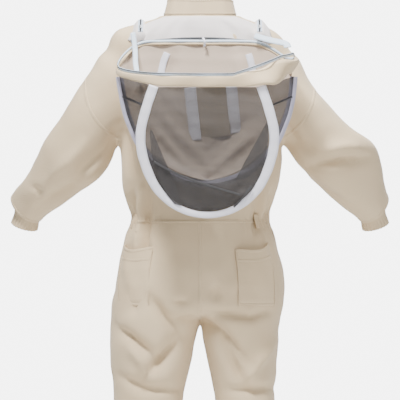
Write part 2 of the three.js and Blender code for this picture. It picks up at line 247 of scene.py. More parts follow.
def arm_rings(rows, mirror=False):
    points = np.array([row[:3] for row in rows])
    rings = []
    for i, row in enumerate(rows):
        along = unit(points[min(i + 1, len(rows) - 1)] - points[max(i - 1, 0)])
        across, deep = frame_across(along)
        ring = []
        for angle in turns(LIMB_SIDES):
            p = points[i] + across * math.cos(angle) * row[3] + deep * math.sin(angle) * row[4]
            ring.append((-p[0] if mirror else p[0], p[1], p[2]))
        rings.append(ring)
    return rings


def leg_rings(sign):
    return [
        [(-sign * x + math.cos(a) * half_width, y + math.sin(a) * half_depth, z) for a in turns(LIMB_SIDES)]
        for z, x, y, half_width, half_depth in LEG_ROWS
    ]


def run_on(rows, distance):
    """The rows with one more, further along past the last."""
    a, b = np.array(rows[-2]), np.array(rows[-1])
    step = unit((b - a)[:3]) * distance
    return rows + [tuple(b[:3] + step) + tuple(b[3:])]


def bump(value, centre, width):
    return np.exp(-((value - centre) / width) ** 2)


# The stance. Arm pushes, by side: distance, height of its middle, its width, whether on the outer side.
ARM_PUSHES = {
    -1: [(0.015, -0.50, 0.05, True), (0.010, -0.35, 0.10, True), (-0.020, -0.42, 0.06, False)],
    1: [(0.054, -0.405, 0.085, True), (-0.016, -0.18, 0.06, True)],
}
ARM_OUT = (0.79, 0.61)
ARM_AXIS_START = (0.208, -0.186)
LEFT_LEG_SHIFT = 0.021
RIGHT_LEG_SHIFT = 0.011
SHOULDER_OUT = 0.012
SHOULDER_UP = 0.008


def ramp(value, start, span):
    """0 below start, 1 past start + span, and even between them."""
    return np.clip((value - start) / span, 0, 1)


def swayed(co):
    """The right elbow pushed out, the left shoulder raised, the legs set over a little."""
    x, z = co[:, 0].copy(), co[:, 2].copy()
    low = ramp(-z, 0.76, 0.10) * ramp(z, -1.47, 0.25)
    co[:, 0] -= LEFT_LEG_SHIFT * low * ramp(-x, 0.04, 0.12)
    co[:, 0] -= RIGHT_LEG_SHIFT * low * ramp(x, 0.01, 0.05)
    for sign, pushes in ARM_PUSHES.items():
        reach = sign * x
        arm = ramp(reach, 0.19, 0.06)
        off_axis = (reach - ARM_AXIS_START[0]) * ARM_OUT[0] + (z - ARM_AXIS_START[1]) * ARM_OUT[1]
        outer = np.clip(0.5 + off_axis / 0.12, 0, 1)
        push = sum(
            distance * bump(z, middle, width) * (outer if outside else 1 - outer)
            for distance, middle, width, outside in pushes
        )
        co[:, 0] += sign * ARM_OUT[0] * push * arm
        co[:, 2] += ARM_OUT[1] * push * arm
    raised = bump(z, -0.055, 0.05) * ramp(-x, 0.13, 0.08)
    co[:, 0] -= SHOULDER_OUT * raised
    co[:, 2] += SHOULDER_UP * raised
    return co


def body_form():
    """One closed form of trunk, arms and legs, with the open ends run on past their edges."""
    vertices, faces = [], []
    sleeve = run_on(ARM_ROWS, OPEN_END_RUN_ON)
    trunk = [[on_level(row, angle) for angle in turns(TORSO_SIDES)] for row in TORSO_ROWS]
    for rings in (trunk, arm_rings(sleeve), arm_rings(sleeve, mirror=True), leg_rings(-1), leg_rings(1)):
        add_part(vertices, faces, *loft(rings))
    piece = new_object("body_form", vertices, faces)
    fixed = bmesh.new()
    fixed.from_mesh(piece.data)
    bmesh.ops.recalc_face_normals(fixed, faces=fixed.faces)
    fixed.to_mesh(piece.data)
    fixed.free()
    remesh = piece.modifiers.new("voxels", "REMESH")
    remesh.mode = "VOXEL"
    remesh.voxel_size = VOXEL
    baked(piece)
    co = swayed(relaxed(coordinates(piece.data), edge_pairs(piece.data), RELAX_STEPS))
    piece.data.vertices.foreach_set("co", co.ravel())
    piece.data.update()
    return piece


# ---- folds -----------------------------------------------------------------------------------
# Each fold: side (-1 back, 1 front, 0 both), width, depth (below 0 a valley), its line as x, z.
FOLDS = [
    (-1, 0.013, -0.011, [(-0.136, -0.773), (-0.100, -0.825), (-0.063, -0.864)]),
    (-1, 0.010, -0.006, [(-0.080, -0.793), (-0.036, -0.789)]),
    (-1, 0.010, -0.006, [(-0.073, -0.838), (-0.025, -0.826)]),
    (-1, 0.016, -0.012, [(-0.235, -0.858), (-0.188, -0.890), (-0.115, -0.946)]),
    (-1, 0.017, -0.014, [(-0.051, -0.882), (-0.100, -0.935), (-0.152, -0.999)]),
    (-1, 0.014, -0.012, [(-0.220, -0.995), (-0.156, -1.027), (-0.063, -1.031)]),
    (-1, 0.016, 0.008, [(-0.200, -0.900), (-0.150, -0.965), (-0.130, -1.010)]),
    (-1, 0.015, -0.013, [(0.010, -0.833), (0.062, -0.874), (0.147, -0.967)]),
    (-1, 0.015, -0.013, [(0.062, -0.890), (0.095, -0.960), (0.127, -1.027)]),
    (-1, 0.016, 0.010, [(0.211, -0.898), (0.165, -0.950), (0.123, -1.007)]),
    (-1, 0.014, -0.012, [(0.086, -1.031), (0.211, -1.029)]),
    (-1, 0.012, -0.010, [(0.010, -0.812), (0.080, -0.822), (0.139, -0.832), (0.185, -0.815)]),
    (-1, 0.022, -0.008, [(0.030, -0.740), (0.055, -0.790)]),
    (-1, 0.014, -0.009, [(-0.212, -0.300), (-0.196, -0.380), (-0.170, -0.460)]),
    (-1, 0.013, -0.009, [(-0.185, -0.470), (-0.180, -0.530), (-0.172, -0.590)]),
    (-1, 0.014, -0.008, [(0.205, -0.320), (0.190, -0.400), (0.172, -0.450)]),
    (-1, 0.013, -0.009, [(0.192, -0.490), (0.182, -0.560)]),
    (-1, 0.012, -0.013, [(-0.143, -0.455), (-0.149, -0.560), (-0.152, -0.655), (-0.165, -0.730),
                         (-0.180, -0.815)]),
    (-1, 0.014, 0.010, [(-0.163, -0.480), (-0.166, -0.560), (-0.172, -0.640)]),
    (-1, 0.012, -0.010, [(0.165, -0.440), (0.158, -0.560), (0.155, -0.610)]),
    (-1, 0.014, 0.008, [(0.180, -0.460), (0.172, -0.560)]),
    (1, 0.016, -0.010, [(-0.200, -0.850), (-0.120, -0.900), (-0.060, -0.880)]),
    (1, 0.016, -0.010, [(0.205, -0.870), (0.120, -0.910), (0.050, -0.870)]),
    (1, 0.016, -0.009, [(-0.180, -1.000), (-0.120, -1.040), (-0.070, -1.010)]),
    (1, 0.016, -0.009, [(0.190, -1.030), (0.120, -1.060), (0.070, -1.020)]),
    (1, 0.018, -0.008, [(-0.215, -0.330), (-0.150, -0.380), (-0.060, -0.400)]),
    (1, 0.018, -0.008, [(0.215, -0.340), (0.150, -0.395), (0.060, -0.420)]),
    (1, 0.016, -0.007, [(-0.170, -0.470), (-0.090, -0.520), (-0.030, -0.520)]),
    (1, 0.016, -0.007, [(0.175, -0.480), (0.095, -0.525), (0.030, -0.530)]),
    (0, 0.016, -0.006, [(-0.215, -1.100), (-0.160, -1.165), (-0.085, -1.200)]),
    (0, 0.016, -0.006, [(0.200, -1.130), (0.140, -1.180), (0.085, -1.150)]),
    (-1, 0.015, -0.007, [(-0.205, -1.300), (-0.150, -1.270), (-0.080, -1.300)]),
    (1, 0.015, -0.006, [(-0.200, -1.240), (-0.140, -1.290), (-0.090, -1.280)]),
    (-1, 0.015, -0.006, [(0.205, -1.250), (0.150, -1.300), (0.085, -1.290)]),
    (1, 0.015, -0.006, [(0.200, -1.310), (0.150, -1.280), (0.090, -1.250)]),
    (0, 0.014, -0.007, [(-0.210, -1.395), (-0.150, -1.430), (-0.095, -1.405)]),
    (0, 0.014, -0.007, [(0.212, -1.420), (0.150, -1.400), (0.090, -1.430)]),
    (-1, 0.015, -0.008, [(-0.228, -0.315), (-0.261, -0.372), (-0.316, -0.423), (-0.352, -0.470),
                         (-0.412, -0.500), (-0.450, -0.532)]),
    (-1, 0.018, 0.005, [(-0.300, -0.330), (-0.360, -0.400), (-0.420, -0.450)]),
    (-1, 0.022, -0.009, [(0.228, -0.290), (0.262, -0.350), (0.330, -0.385)]),
    (-1, 0.016, -0.012, [(0.305, -0.416), (0.380, -0.400), (0.468, -0.393)]),
    (-1, 0.018, 0.006, [(0.330, -0.375), (0.400, -0.360), (0.450, -0.365)]),
    (-1, 0.013, -0.006, [(0.250, -0.395), (0.302, -0.452), (0.399, -0.512), (0.440, -0.530)]),
    (-1, 0.010, -0.005, [(-0.470, -0.470), (-0.445, -0.485), (-0.455, -0.500)]),
    (1, 0.015, -0.010, [(-0.300, -0.430), (-0.350, -0.410), (-0.400, -0.380)]),
    (1, 0.015, -0.010, [(0.300, -0.430), (0.350, -0.410), (0.400, -0.380)]),
]
FOLD_GAIN = 2.7


def line_distance(x, z, line):
    """Distance to a polyline in the x, z plane, and how far along it the nearest point is (0 to 1)."""
    best = np.full(x.shape, np.inf)
    where = np.zeros(x.shape)
    spans = len(line) - 1
    for i, ((ax, az), (bx, bz)) in enumerate(zip(line[:-1], line[1:])):
        dx, dz = bx - ax, bz - az
        t = np.clip(((x - ax) * dx + (z - az) * dz) / (dx * dx + dz * dz), 0, 1)
        d = np.hypot(x - ax - t * dx, z - az - t * dz)
        closer = d < best
        best[closer] = d[closer]
        where[closer] = ((i + t) / spans)[closer]
    return best, where


def fold_heights(co, normals):
    """Each fold as a ridge or valley with a soft roll beside it, fading out at its ends."""
    x, z = co[:, 0], co[:, 2]
    height = np.zeros(len(co))
    for side, width, depth, line in FOLDS:
        distance, along = line_distance(x, z, line)
        facing = 1.0 if side == 0 else np.clip(0.5 + side * normals[:, 1] * 1.5, 0, 1)
        u = distance / width
        profile = np.exp(-1.15 * u ** 1.25) - 0.30 * np.exp(-0.5 * (u / 2.3) ** 2)
        fade = np.sin(np.pi * np.clip(along, 0.06, 0.94)) ** 0.7
        height += FOLD_GAIN * depth * profile * fade * facing
    return height


GATHER_REACH_X = 0.26
GATHER_LOWEST_Z = -0.70
WAIST_GATHERS = 62
ANKLE_GATHERS = 22
WAIST_RIPPLE = 0.0058
WAIST_PULL = 0.006
ANKLE_RIPPLE = 0.0034


def gather_heights(co):
    """Ripples along the elastic at the sides of the waist and at the ankles."""
    angle = np.arctan2(co[:, 0], co[:, 1] - 0.01)
    trunk = (np.abs(co[:, 0]) < GATHER_REACH_X) & (co[:, 2] > GATHER_LOWEST_Z)
    at_side = np.clip((np.abs(np.sin(angle)) - 0.62) / 0.25, 0, 1)
    near = bump(co[:, 2], WAIST_Z, 0.045)
    wander = 0.35 * np.sin(co[:, 2] * 55 + angle * 3)
    waist = WAIST_RIPPLE * np.sin(angle * WAIST_GATHERS + wander) * near * at_side * trunk
    pull = -WAIST_PULL * bump(co[:, 2], WAIST_Z, 0.03) * at_side * trunk
    leg_x = np.where(co[:, 0] < 0, LEG_ROWS[-1][1], -LEG_ROWS[-1][1])
    leg_angle = np.arctan2(co[:, 0] - leg_x, co[:, 1] + 0.01)
    low = np.clip((-1.40 - co[:, 2]) / 0.09, 0, 1) ** 2
    ankle = ANKLE_RIPPLE * np.sin(leg_angle * ANKLE_GATHERS + 0.4 * np.sin(co[:, 2] * 60)) * low
    return waist + pull + ankle


# Unevenness of the cloth: size of its lumps, their height, seed.
UNEVENNESS = [(0.11, 0.0045, 3.0), (0.045, 0.0018, 9.0)]


def soft_noise(co, size, height, seed):
    """Fixed noise, the same on every run."""
    return np.array([noise.noise(Vector(p) / size + Vector((seed, 0, 0))) for p in co]) * height


# ---- panels ----------------------------------------------------------------------------------
def shoulder_field(co):
    """Above 0 on a sleeve: outside the round of the shoulder, and off the side of the trunk."""
    x = np.abs(co[..., 0])
    round_of_shoulder = np.hypot(x - SHOULDER[0], co[..., 2] - SHOULDER[1]) - SHOULDER_RADIUS
    side = TRUNK_SIDE_X + TRUNK_SIDE_FLARE * np.maximum(UNDERARM_Z - co[..., 2], 0)
    return np.minimum(round_of_shoulder, x - side)


def hip_field(co):
    """Above 0 on a leg: outside the round of the hip, and below it."""
    around = np.hypot(co[..., 1] - HIP[0], co[..., 2] - HIP[1]) - HIP_RADIUS
    return np.where(co[..., 2] < HIP[1], around, -1.0)


def sleeve_end_field(co):
    """Above 0 past the open end of a sleeve."""
    x, y, z = np.abs(co[..., 0]), co[..., 1], co[..., 2]
    end = np.array(ARM_ROWS[-1][:3])
    along = unit(end - np.array(ARM_ROWS[-2][:3]))
    past = (-x - end[0]) * along[0] + (y - end[1]) * along[1] + (z - end[2]) * along[2]
    return np.where(x > FOREARM_X, past, -1.0)


SNAP = 0.0007


def cut_along(bm, field):
    """Splits faces where the field changes sign, so that a border follows its zero line."""
    bm.verts.ensure_lookup_table()
    value = dict(zip(bm.verts, field(np.array([v.co for v in bm.verts]))))
    for v in bm.verts:
        if abs(value[v]) < SNAP:
            value[v] = 0.0
    for e in list(bm.edges):
        a, b = e.verts
        if value[a] * value[b] < 0 and abs(value[a] - value[b]) < 0.1:
            t = value[a] / (value[a] - value[b])
            _, made = bmesh.utils.edge_split(e, a, t)
            value[made] = 0.0
    for f in list(bm.faces):
        on = [v for v in f.verts if value[v] == 0.0]
        if len(on) == 2 and not any(on[1] in e.verts for e in on[0].link_edges if e in f.edges):
            bmesh.utils.face_split(f, on[0], on[1])


def panel_of(co):
    """The panel that each point belongs to, or an empty name past an open end."""
    x, y, z = co.T
    side = np.where(x < 0, "left", "right")
    face = np.where(y > SIDE_SEAM_Y, "front", "back")
    name = np.char.add(np.char.add(np.char.add("seat_", face), "_"), side)
    bodice = np.where(y > SIDE_SEAM_Y, np.char.add("bodice_front_", side), "bodice_back")
    name = np.where(z > WAIST_Z, bodice, name)
    leg = np.char.add(np.char.add(np.char.add("leg_", face), "_"), side)
    name = np.where(hip_field(co) > 0, leg, name)
    name = np.where(z < ANKLE_SEAM_Z, np.char.add("ankle_hem_", side), name)
    name = np.where(shoulder_field(co) > 0, np.char.add("sleeve_", side), name)
    gone = (z > 0) | (z < HEM_Z) | (sleeve_end_field(co) > 0)
    slot = (np.abs(x) < ZIP_SLOT_HALF) & (y > 0) & (z > FRONT_FOLD_Z)
    return np.where(gone | slot, "", name)


PLANES = [
    lambda co: co[..., 2], lambda co: co[..., 2] - WAIST_Z, lambda co: co[..., 2] - HEM_Z,
    lambda co: co[..., 2] - ANKLE_SEAM_Z, lambda co: co[..., 1] - SIDE_SEAM_Y, lambda co: co[..., 0],
    lambda co: np.where(co[..., 1] > 0, co[..., 0] - ZIP_SLOT_HALF, -1.0),
    lambda co: np.where(co[..., 1] > 0, -ZIP_SLOT_HALF - co[..., 0], -1.0),
    shoulder_field, hip_field, sleeve_end_field,
]


def shaped_body():
    """The body form with its folds, gathers and small unevenness; the zip and neckline stay smooth."""
    piece = body_form()
    mesh = piece.data
    co = coordinates(mesh)
    normals = values_of(mesh.vertices, "normal", 3)
    height = fold_heights(co, normals) + gather_heights(co)
    height += sum(soft_noise(co, *lumps) for lumps in UNEVENNESS)
    off_zip = ramp(np.abs(co[:, 0]), 0.02, 0.04)
    front = ramp(co[:, 1], 0, 0.05) * (co[:, 2] > -0.78)
    height *= 1 - front * (1 - off_zip)
    height *= ramp(-co[:, 2], 0, 0.05)
    co = co + normals * height[:, None]
    mesh.vertices.foreach_set("co", relaxed(co, edge_pairs(mesh), 1, 0.35).ravel())
    mesh.update()
    return piece


def garment_panels():
    """Cuts the shaped body into its panels; returns the pieces and the seams between them."""
    source = shaped_body()
    bm = bmesh.new()
    bm.from_mesh(source.data)
    bpy.data.objects.remove(source)
    for field in PLANES:
        cut_along(bm, field)
    bm.normal_update()
    bm.verts.index_update()
    faces = list(bm.faces)
    names = panel_of(np.array([f.calc_center_median() for f in faces]))
    owner = dict(zip(faces, names))
    seams = {}
    for e in bm.edges:
        around = sorted({str(owner[f]) for f in e.link_faces})
        if len(around) == 2:
            seams.setdefault(tuple(around), []).append(
                [(v.co.copy(), v.normal.copy(), v.index) for v in e.verts]
            )
    panels = {}
    for name in sorted(set(names) - {""}):
        mine = [f for f in faces if owner[f] == name]
        used = {}
        corners = []
        for f in mine:
            corners.append([used.setdefault(v, len(used)) for v in f.verts])
        panels[str(name)] = new_object(str(name) + "_cloth", [v.co for v in used], corners)
    bm.free()
    return panels, seams


# ---- materials -------------------------------------------------------------------------------
TWILL_PITCH = 0.0016
TAPE_RIB = 0.0012
SEAM_STITCH = 0.0034
TAPE_STITCH = 0.0036
NET_PITCH = 0.0026


def opaque(colour):
    return colour if isinstance(colour, bpy.types.NodeSocket) else (*colour, 1)


class Nodes:
    """A node material with a Principled shader, built up by small calls."""

    def __init__(self, name, **sockets):
        self.material = bpy.data.materials.new(name)
        self.material.use_nodes = True
        self.tree = self.material.node_tree
        self.shader = self.tree.nodes["Principled BSDF"]
        for key, value in sockets.items():
            self.shader.inputs[key.replace("_", " ")].default_value = value

    def add(self, kind, inputs=None, **settings):
        node = self.tree.nodes.new(kind)
        for key, value in settings.items():
            setattr(node, key, value)
        for key, value in (inputs or {}).items():
            if isinstance(value, bpy.types.NodeSocket):
                self.tree.links.new(value, node.inputs[key])
            else:
                node.inputs[key].default_value = value
        return node

    def link(self, socket, name):
        self.tree.links.new(socket, self.shader.inputs[name])

    def place(self):
        return self.add("ShaderNodeTexCoord").outputs["Object"]

    def uv(self):
        """Metres along the piece, and -1 to 1 across it on a ribbon."""
        split = self.add("ShaderNodeSeparateXYZ", {"Vector": self.add("ShaderNodeUVMap").outputs["UV"]})
        return split.outputs["X"], split.outputs["Y"]

    def noise(self, scale, detail=3.0):
        inputs = {"Vector": self.place(), "Scale": scale, "Detail": detail}
        return self.add("ShaderNodeTexNoise", inputs).outputs["Fac"]

    def bands(self, period, direction):
        inputs = {"Vector": self.place(), "Scale": 2 * math.pi / (20 * period)}
        return self.add("ShaderNodeTexWave", inputs, bands_direction=direction).outputs["Fac"]

    def mixed(self, factor, a, b):
        inputs = {"Factor": factor, 6: opaque(a), 7: opaque(b)}
        return self.add("ShaderNodeMix", inputs, data_type="RGBA").outputs[2]

    def maths(self, operation, a, b=0.0):
        return self.add("ShaderNodeMath", {0: a, 1: b}, operation=operation).outputs[0]

    def stitches(self, along, across, pitch, share, row, half_width):
        """1 on the threads of two rows of stitches, as far to either side of the middle as row says."""
        dash = self.maths("LESS_THAN", self.maths("FRACT", self.maths("MULTIPLY", along, 1 / pitch)), share)
        off_row = self.maths("ABSOLUTE", self.maths("SUBTRACT", self.maths("ABSOLUTE", across), row))
        return self.maths("MULTIPLY", dash, self.maths("LESS_THAN", off_row, half_width))

    def bump(self, height, distance, strength, below=None):
        inputs = {"Height": height, "Distance": distance, "Strength": strength}
        if below is not None:
            inputs["Normal"] = below
        normal = self.add("ShaderNodeBump", inputs).outputs["Normal"]
        self.link(normal, "Normal")
        return normal


def twill(name, light, dark, stitched=False):
    """Cotton twill: diagonal weave, slubs, faint washed patches; a stitched one has two rows of thread."""
    n = Nodes(name, Roughness=0.88, Sheen_Weight=0.18, Sheen_Roughness=0.5, Specular_IOR_Level=0.25)
    colour = n.mixed(n.noise(5.0), light, dark)
    slubs = n.maths("MULTIPLY", n.maths("SUBTRACT", n.noise(900.0, 2.0), 0.5), 0.35)
    colour = n.mixed(n.maths("MAXIMUM", slubs, 0.0), colour, [c * 0.72 for c in dark])
    normal = n.bump(n.bands(TWILL_PITCH, "DIAGONAL"), 0.00025, 0.6)
    normal = n.bump(n.noise(220.0, 4.0), 0.0006, 0.5, normal)
    if stitched:
        thread = n.stitches(*n.uv(), SEAM_STITCH, 0.72, 0.62, 0.13)
        colour = n.mixed(thread, colour, [c * 1.12 for c in light])
        n.bump(thread, 0.0005, 0.9, normal)
    n.link(colour, "Base Color")
    return n.material


def tape(name, light, dark):
    """Woven tape: fine ribs across it and a row of stitches near each edge."""
    n = Nodes(name, Roughness=0.7, Sheen_Weight=0.15, Specular_IOR_Level=0.3)
    colour = n.mixed(n.noise(40.0), light, dark)
    along, across = n.uv()
    ribs = n.maths("SINE", n.maths("MULTIPLY", along, 2 * math.pi / TAPE_RIB))
    normal = n.bump(ribs, 0.0002, 0.5)
    thread = n.stitches(along, across, TAPE_STITCH, 0.7, 0.78, 0.06)
    n.bump(thread, 0.0004, 0.8, normal)
    n.link(n.mixed(thread, colour, [c * 0.8 for c in dark]), "Base Color")
    return n.material


def netting(name, colour, hole_alpha, wire_share):
    """Open knitted net: dark threads both ways with see-through holes between them."""
    n = Nodes(name, Roughness=0.75, Specular_IOR_Level=0.3)
    n.shader.inputs["Base Color"].default_value = opaque(colour)
    waves = [
        n.maths("ABSOLUTE", n.maths("SINE", n.maths("MULTIPLY", way, math.pi / NET_PITCH)))
        for way in n.uv()
    ]
    wire = n.maths("LESS_THAN", n.maths("MINIMUM", *waves), wire_share)
    n.link(n.maths("MAXIMUM", wire, hole_alpha), "Alpha")
    n.bump(wire, 0.0003, 0.6)
    return n.material


def metal(name, colour, roughness):
    n = Nodes(name, Metallic=1.0)
    n.link(n.mixed(n.noise(600.0), colour, [c * 0.75 for c in colour]), "Base Color")
    n.link(n.maths("ADD", n.maths("MULTIPLY", n.noise(300.0), 0.2), roughness - 0.1), "Roughness")
    n.bump(n.noise(900.0), 0.00008, 0.4)
    return n.material


def plastic(name, colour):
    n = Nodes(name, Roughness=0.45, Specular_IOR_Level=0.4)
    n.link(n.mixed(n.noise(250.0), colour, [c * 0.8 for c in colour]), "Base Color")
    n.bump(n.noise(700.0), 0.00006, 0.4)
    return n.material


KHAKI = (0.68, 0.54, 0.355)
KHAKI_DARK = (0.58, 0.445, 0.275)
PALE = (0.74, 0.69, 0.67)
PALE_DARK = (0.66, 0.61, 0.60)
MATERIALS = {
    "twill": twill("khaki_twill", KHAKI, KHAKI_DARK),
    "seam": twill("khaki_seam", KHAKI, KHAKI_DARK, stitched=True),
    "pale_twill": twill("pale_twill", PALE, PALE_DARK),
    "white_tape": tape("white_tape", (0.86, 0.85, 0.92), (0.76, 0.75, 0.84)),
    "lilac_tape": tape("lilac_tape", (0.58, 0.56, 0.70), (0.50, 0.48, 0.62)),
    "blue_tape": tape("blue_tape", (0.66, 0.76, 0.86), (0.58, 0.68, 0.80)),
    "hood_twill": twill("hood_twill", (0.62, 0.50, 0.40), (0.54, 0.43, 0.34)),
    "hood_patch": twill("hood_patch", (0.36, 0.28, 0.19), (0.31, 0.24, 0.16)),
    "net_binding": plastic("net_binding", (0.05, 0.048, 0.05)),
    "netting": netting("dark_netting", (0.052, 0.048, 0.048), 0.68, 0.50),
    "zip_metal": metal("zip_metal", (0.50, 0.51, 0.53), 0.35),
    "zip_teeth": plastic("zip_teeth", (0.10, 0.105, 0.115)),
    "spring_steel": metal("spring_steel", (0.55, 0.56, 0.58), 0.3),
}


def finished(piece, look, body=None, blend=None, replaces=()):
    """Gives a piece its material and slot and smooth shading, and hides the CAD nodes it stands for; hangs
    it on its body, or with a blend only bakes it in place.
    """
    piece.data.materials.clear()
    piece.data.materials.append(MATERIALS[look])
    piece.data.polygons.foreach_set("use_smooth", [True] * len(piece.data.polygons))
    if blend:
        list(blend)
        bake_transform(piece)
    else:
        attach(piece, body)
    if replaces:
        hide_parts(*replaces)
    return piece


# ---- how the cloth panels move ---------------------------------------------------------------
SLEEVE_FOLLOWS = 0.30
LEG_BLEND_X = 0.118
LEG_BLEND_RUN = 0.15


def sign_of(side):
    return -1 if side == "left" else 1


def sleeve_blend(side):
    sign = sign_of(side)
    along = Vector((sign * 0.56, 0, -0.83)).normalized()
    pivot = Vector((sign * SHOULDER[0], 0, SHOULDER[1]))
    return ("torso", f"sleeve_{side}", pivot + along * SHOULDER_RADIUS, pivot + along * SLEEVE_FOLLOWS)


def leg_blend(side):
    x = sign_of(side) * LEG_BLEND_X
    top = HIP[1] - HIP_RADIUS
    return ("torso", f"leg_{side}", (x, HIP[0], top), (x, HIP[0], top - LEG_BLEND_RUN))


def motion_of(panel):
    side = panel.rsplit("_", 1)[-1]
    if panel.startswith("sleeve"):
        return {"blend": sleeve_blend(side)}
    if panel.startswith("leg"):
        return {"blend": leg_blend(side)}
    if panel.startswith("ankle"):
        return {"body": f"leg_{side}"}
    return {"body": "torso"}


def thickened(piece, thickness, offset=-1.0):
    solid = piece.modifiers.new("thickness", "SOLIDIFY")
    solid.thickness = thickness
    solid.offset = offset
    return baked(piece)


def surface_area(mesh):
    return sum(polygon.area for polygon in mesh.polygons)


# Flat cut of each sheet: width and length of the rectangle it is cut from.
CUT = {
    "bodice_back": (0.95, 0.62), "bodice_front": (0.50, 0.62), "sleeve": (0.62, 0.56),
    "trouser": (0.38, 1.06), "ankle_hem": (0.46, 0.04), "collar": (0.56, 0.09), "nape_flap": (0.42, 0.10),
    "cuff": (0.30, 0.052), "waist_elastic": (0.26, 0.046), "hip_pocket": (0.15, 0.19),
    "front_zip_tape": (0.016, 0.79), "neck_zip_tape": (0.0142, 0.186), "neck_ridge": (0.19, 0.08),
    "rim_band": (1.35, 0.060), "rim_zip_edge": (1.34, 0.0105), "side_net": (1.10, 0.16),
    "face_net": (0.36, 0.40), "hood_back": (0.50, 0.46), "net_fold": (0.08, 0.22),
}
LEAST_CUT_SHARE = 0.3001


def declare_cloth(piece, cut, area=None):
    width, length = cut
    area = area if area is not None else surface_area(piece.data)
    width = max(width, area / length * 1.02)
    area = max(area, LEAST_CUT_SHARE * width * length)


def made_up(piece, look, node, cut, thickness=0.0018, body="torso"):
    """A sheet of its own node: thickened both ways and finished."""
    area = surface_area(piece.data)
    thickened(piece, thickness, 0.0)
    finished(piece, look, body=body, replaces=(node,))
    declare_cloth(piece, cut, area)


WELD_DISTANCE = 0.00005


def welded(name, one, other):
    """One piece from two panels that share a border."""
    piece = joined(name, [one, other])
    bm = bmesh.new()
    bm.from_mesh(piece.data)
    border = [v for v in bm.verts if v.is_boundary]
    bmesh.ops.remove_doubles(bm, verts=border, dist=WELD_DISTANCE)
    bm.to_mesh(piece.data)
    bm.free()
    return piece


def dress(piece, nodes, cut, **motion):
    area = surface_area(piece.data)
    thickened(piece, CLOTH)
    finished(piece, "twill", replaces=nodes, **motion)
    declare_cloth(piece, cut, area=area)


def dress_panels(panels):
    """Every panel as cloth; a seat panel runs down into its leg in one piece, as it is cut."""
    left_over = dict(panels)
    for side in ("left", "right"):
        for face in ("back", "front"):
            names = (f"seat_{face}_{side}", f"leg_{face}_{side}")
            seat, leg = (left_over.pop(name) for name in names)
            piece = welded(f"trouser_{face}_{side}_cloth", seat, leg)
            dress(piece, names, CUT["trouser"], blend=leg_blend(side))
    for name, piece in left_over.items():
        kind = name.replace("_left", "").replace("_right", "")
        dress(piece, (name,), CUT[kind], **motion_of(name))


# ---- seams -----------------------------------------------------------------------------------
def chains(edges):
    """Orders loose edges into lines of (point, normal)."""
    place, links = {}, {}
    for (a, na, ia), (b, nb, ib) in edges:
        place[ia], place[ib] = (a, na), (b, nb)
        links.setdefault(ia, []).append(ib)
        links.setdefault(ib, []).append(ia)
    lines, seen = [], set()
    starts = [i for i, near in links.items() if len(near) == 1] + list(links)
    for start in starts:
        if start in seen:
            continue
        line, here = [start], start
        seen.add(start)
        while True:
            following = [i for i in links[here] if i not in seen]
            if not following:
                break
            here = following[0]
            seen.add(here)
            line.append(here)
        if len(line) > 1 and line[0] in links[line[-1]] and len(line) > 4:
            line.append(line[0])
        if len(line) > 5:
            lines.append([place[i] for i in line])
    return lines


def evened(points, step):
    """Points about every step along a line."""
    p = np.array(points, float)
    run = run_along(p)
    return at_places(np.linspace(0, run[-1], max(int(run[-1] / step), 2) + 1), run, p)


def softened(points, steps, closed):
    """A line with its small kinks smoothed out, its ends kept."""
    p = points.copy()
    for _ in range(steps):
        if closed:
            p[:-1] = (np.roll(p[:-1], 1, 0) + 2 * p[:-1] + np.roll(p[:-1], -1, 0)) / 4
            p[-1] = p[0]
        else:
            p[1:-1] = (p[:-2] + 2 * p[1:-1] + p[2:]) / 4
    return p


RIBBON_SECTION = [
    (-1.0, 0.15), (-0.86, 0.85), (-0.4, 1.0), (0.4, 1.0),
    (0.86, 0.85), (1.0, 0.15), (1.0, -0.5), (-1.0, -0.5),
]


def ribbon_mesh(name, centres, normals, width, height, section=RIBBON_SECTION):
    """A ribbon lying on a surface: its UV holds metres along it and -1 to 1 across it."""
    c = np.array(centres, float)
    tangent = np.gradient(c, axis=0)
    across = unit(np.cross(unit(normals), tangent))
    out = unit(np.cross(tangent, across))
    run = run_along(c)
    wide = np.broadcast_to(width, len(c))
    rings = [
        [c[i] + across[i] * a * wide[i] / 2 + out[i] * h * height for a, h in section]
        for i in range(len(c))
    ]
    count = len(section)
    return set_uv(new_object(name, *loft(rings)), lambda i: (run[i // count], section[i % count][0]))


def joined(name, pieces):
    """One piece from several meshes, UVs kept."""
    bpy.ops.object.select_all(action="DESELECT")
    for piece in pieces:
        piece.select_set(True)
    bpy.context.view_layer.objects.active = pieces[0]
    if len(pieces) > 1:
        bpy.ops.object.join()
    pieces[0].name = name
    pieces[0].data.name = name
    return pieces[0]


# Seams shown as stitched ribbons: name, the two panels' first words ("" for no panel), whose motion.
SEAMS = [
    ("armhole_seam", "bodice", "sleeve", None), ("shoulder_side_seam", "bodice_back", "bodice_front", None),
    ("waist_seam", "bodice", "seat", None), ("seat_side_seam", "seat_back", "seat_front", None),
    ("seat_centre_seam", "seat_back_left", "seat_back_right", None),
    ("fly_seam", "seat_front_left", "seat_front_right", None),
    ("leg_side_seam", "leg_back", "leg_front", "leg"), ("ankle_seam", "ankle_hem", "leg", "ankle"),
    ("sleeve_end_hem", "", "sleeve", "sleeve"), ("ankle_end_hem", "", "ankle_hem", "ankle"),
]


SEAM_WIDTH = 0.0085
SEAM_HEIGHT = 0.0009


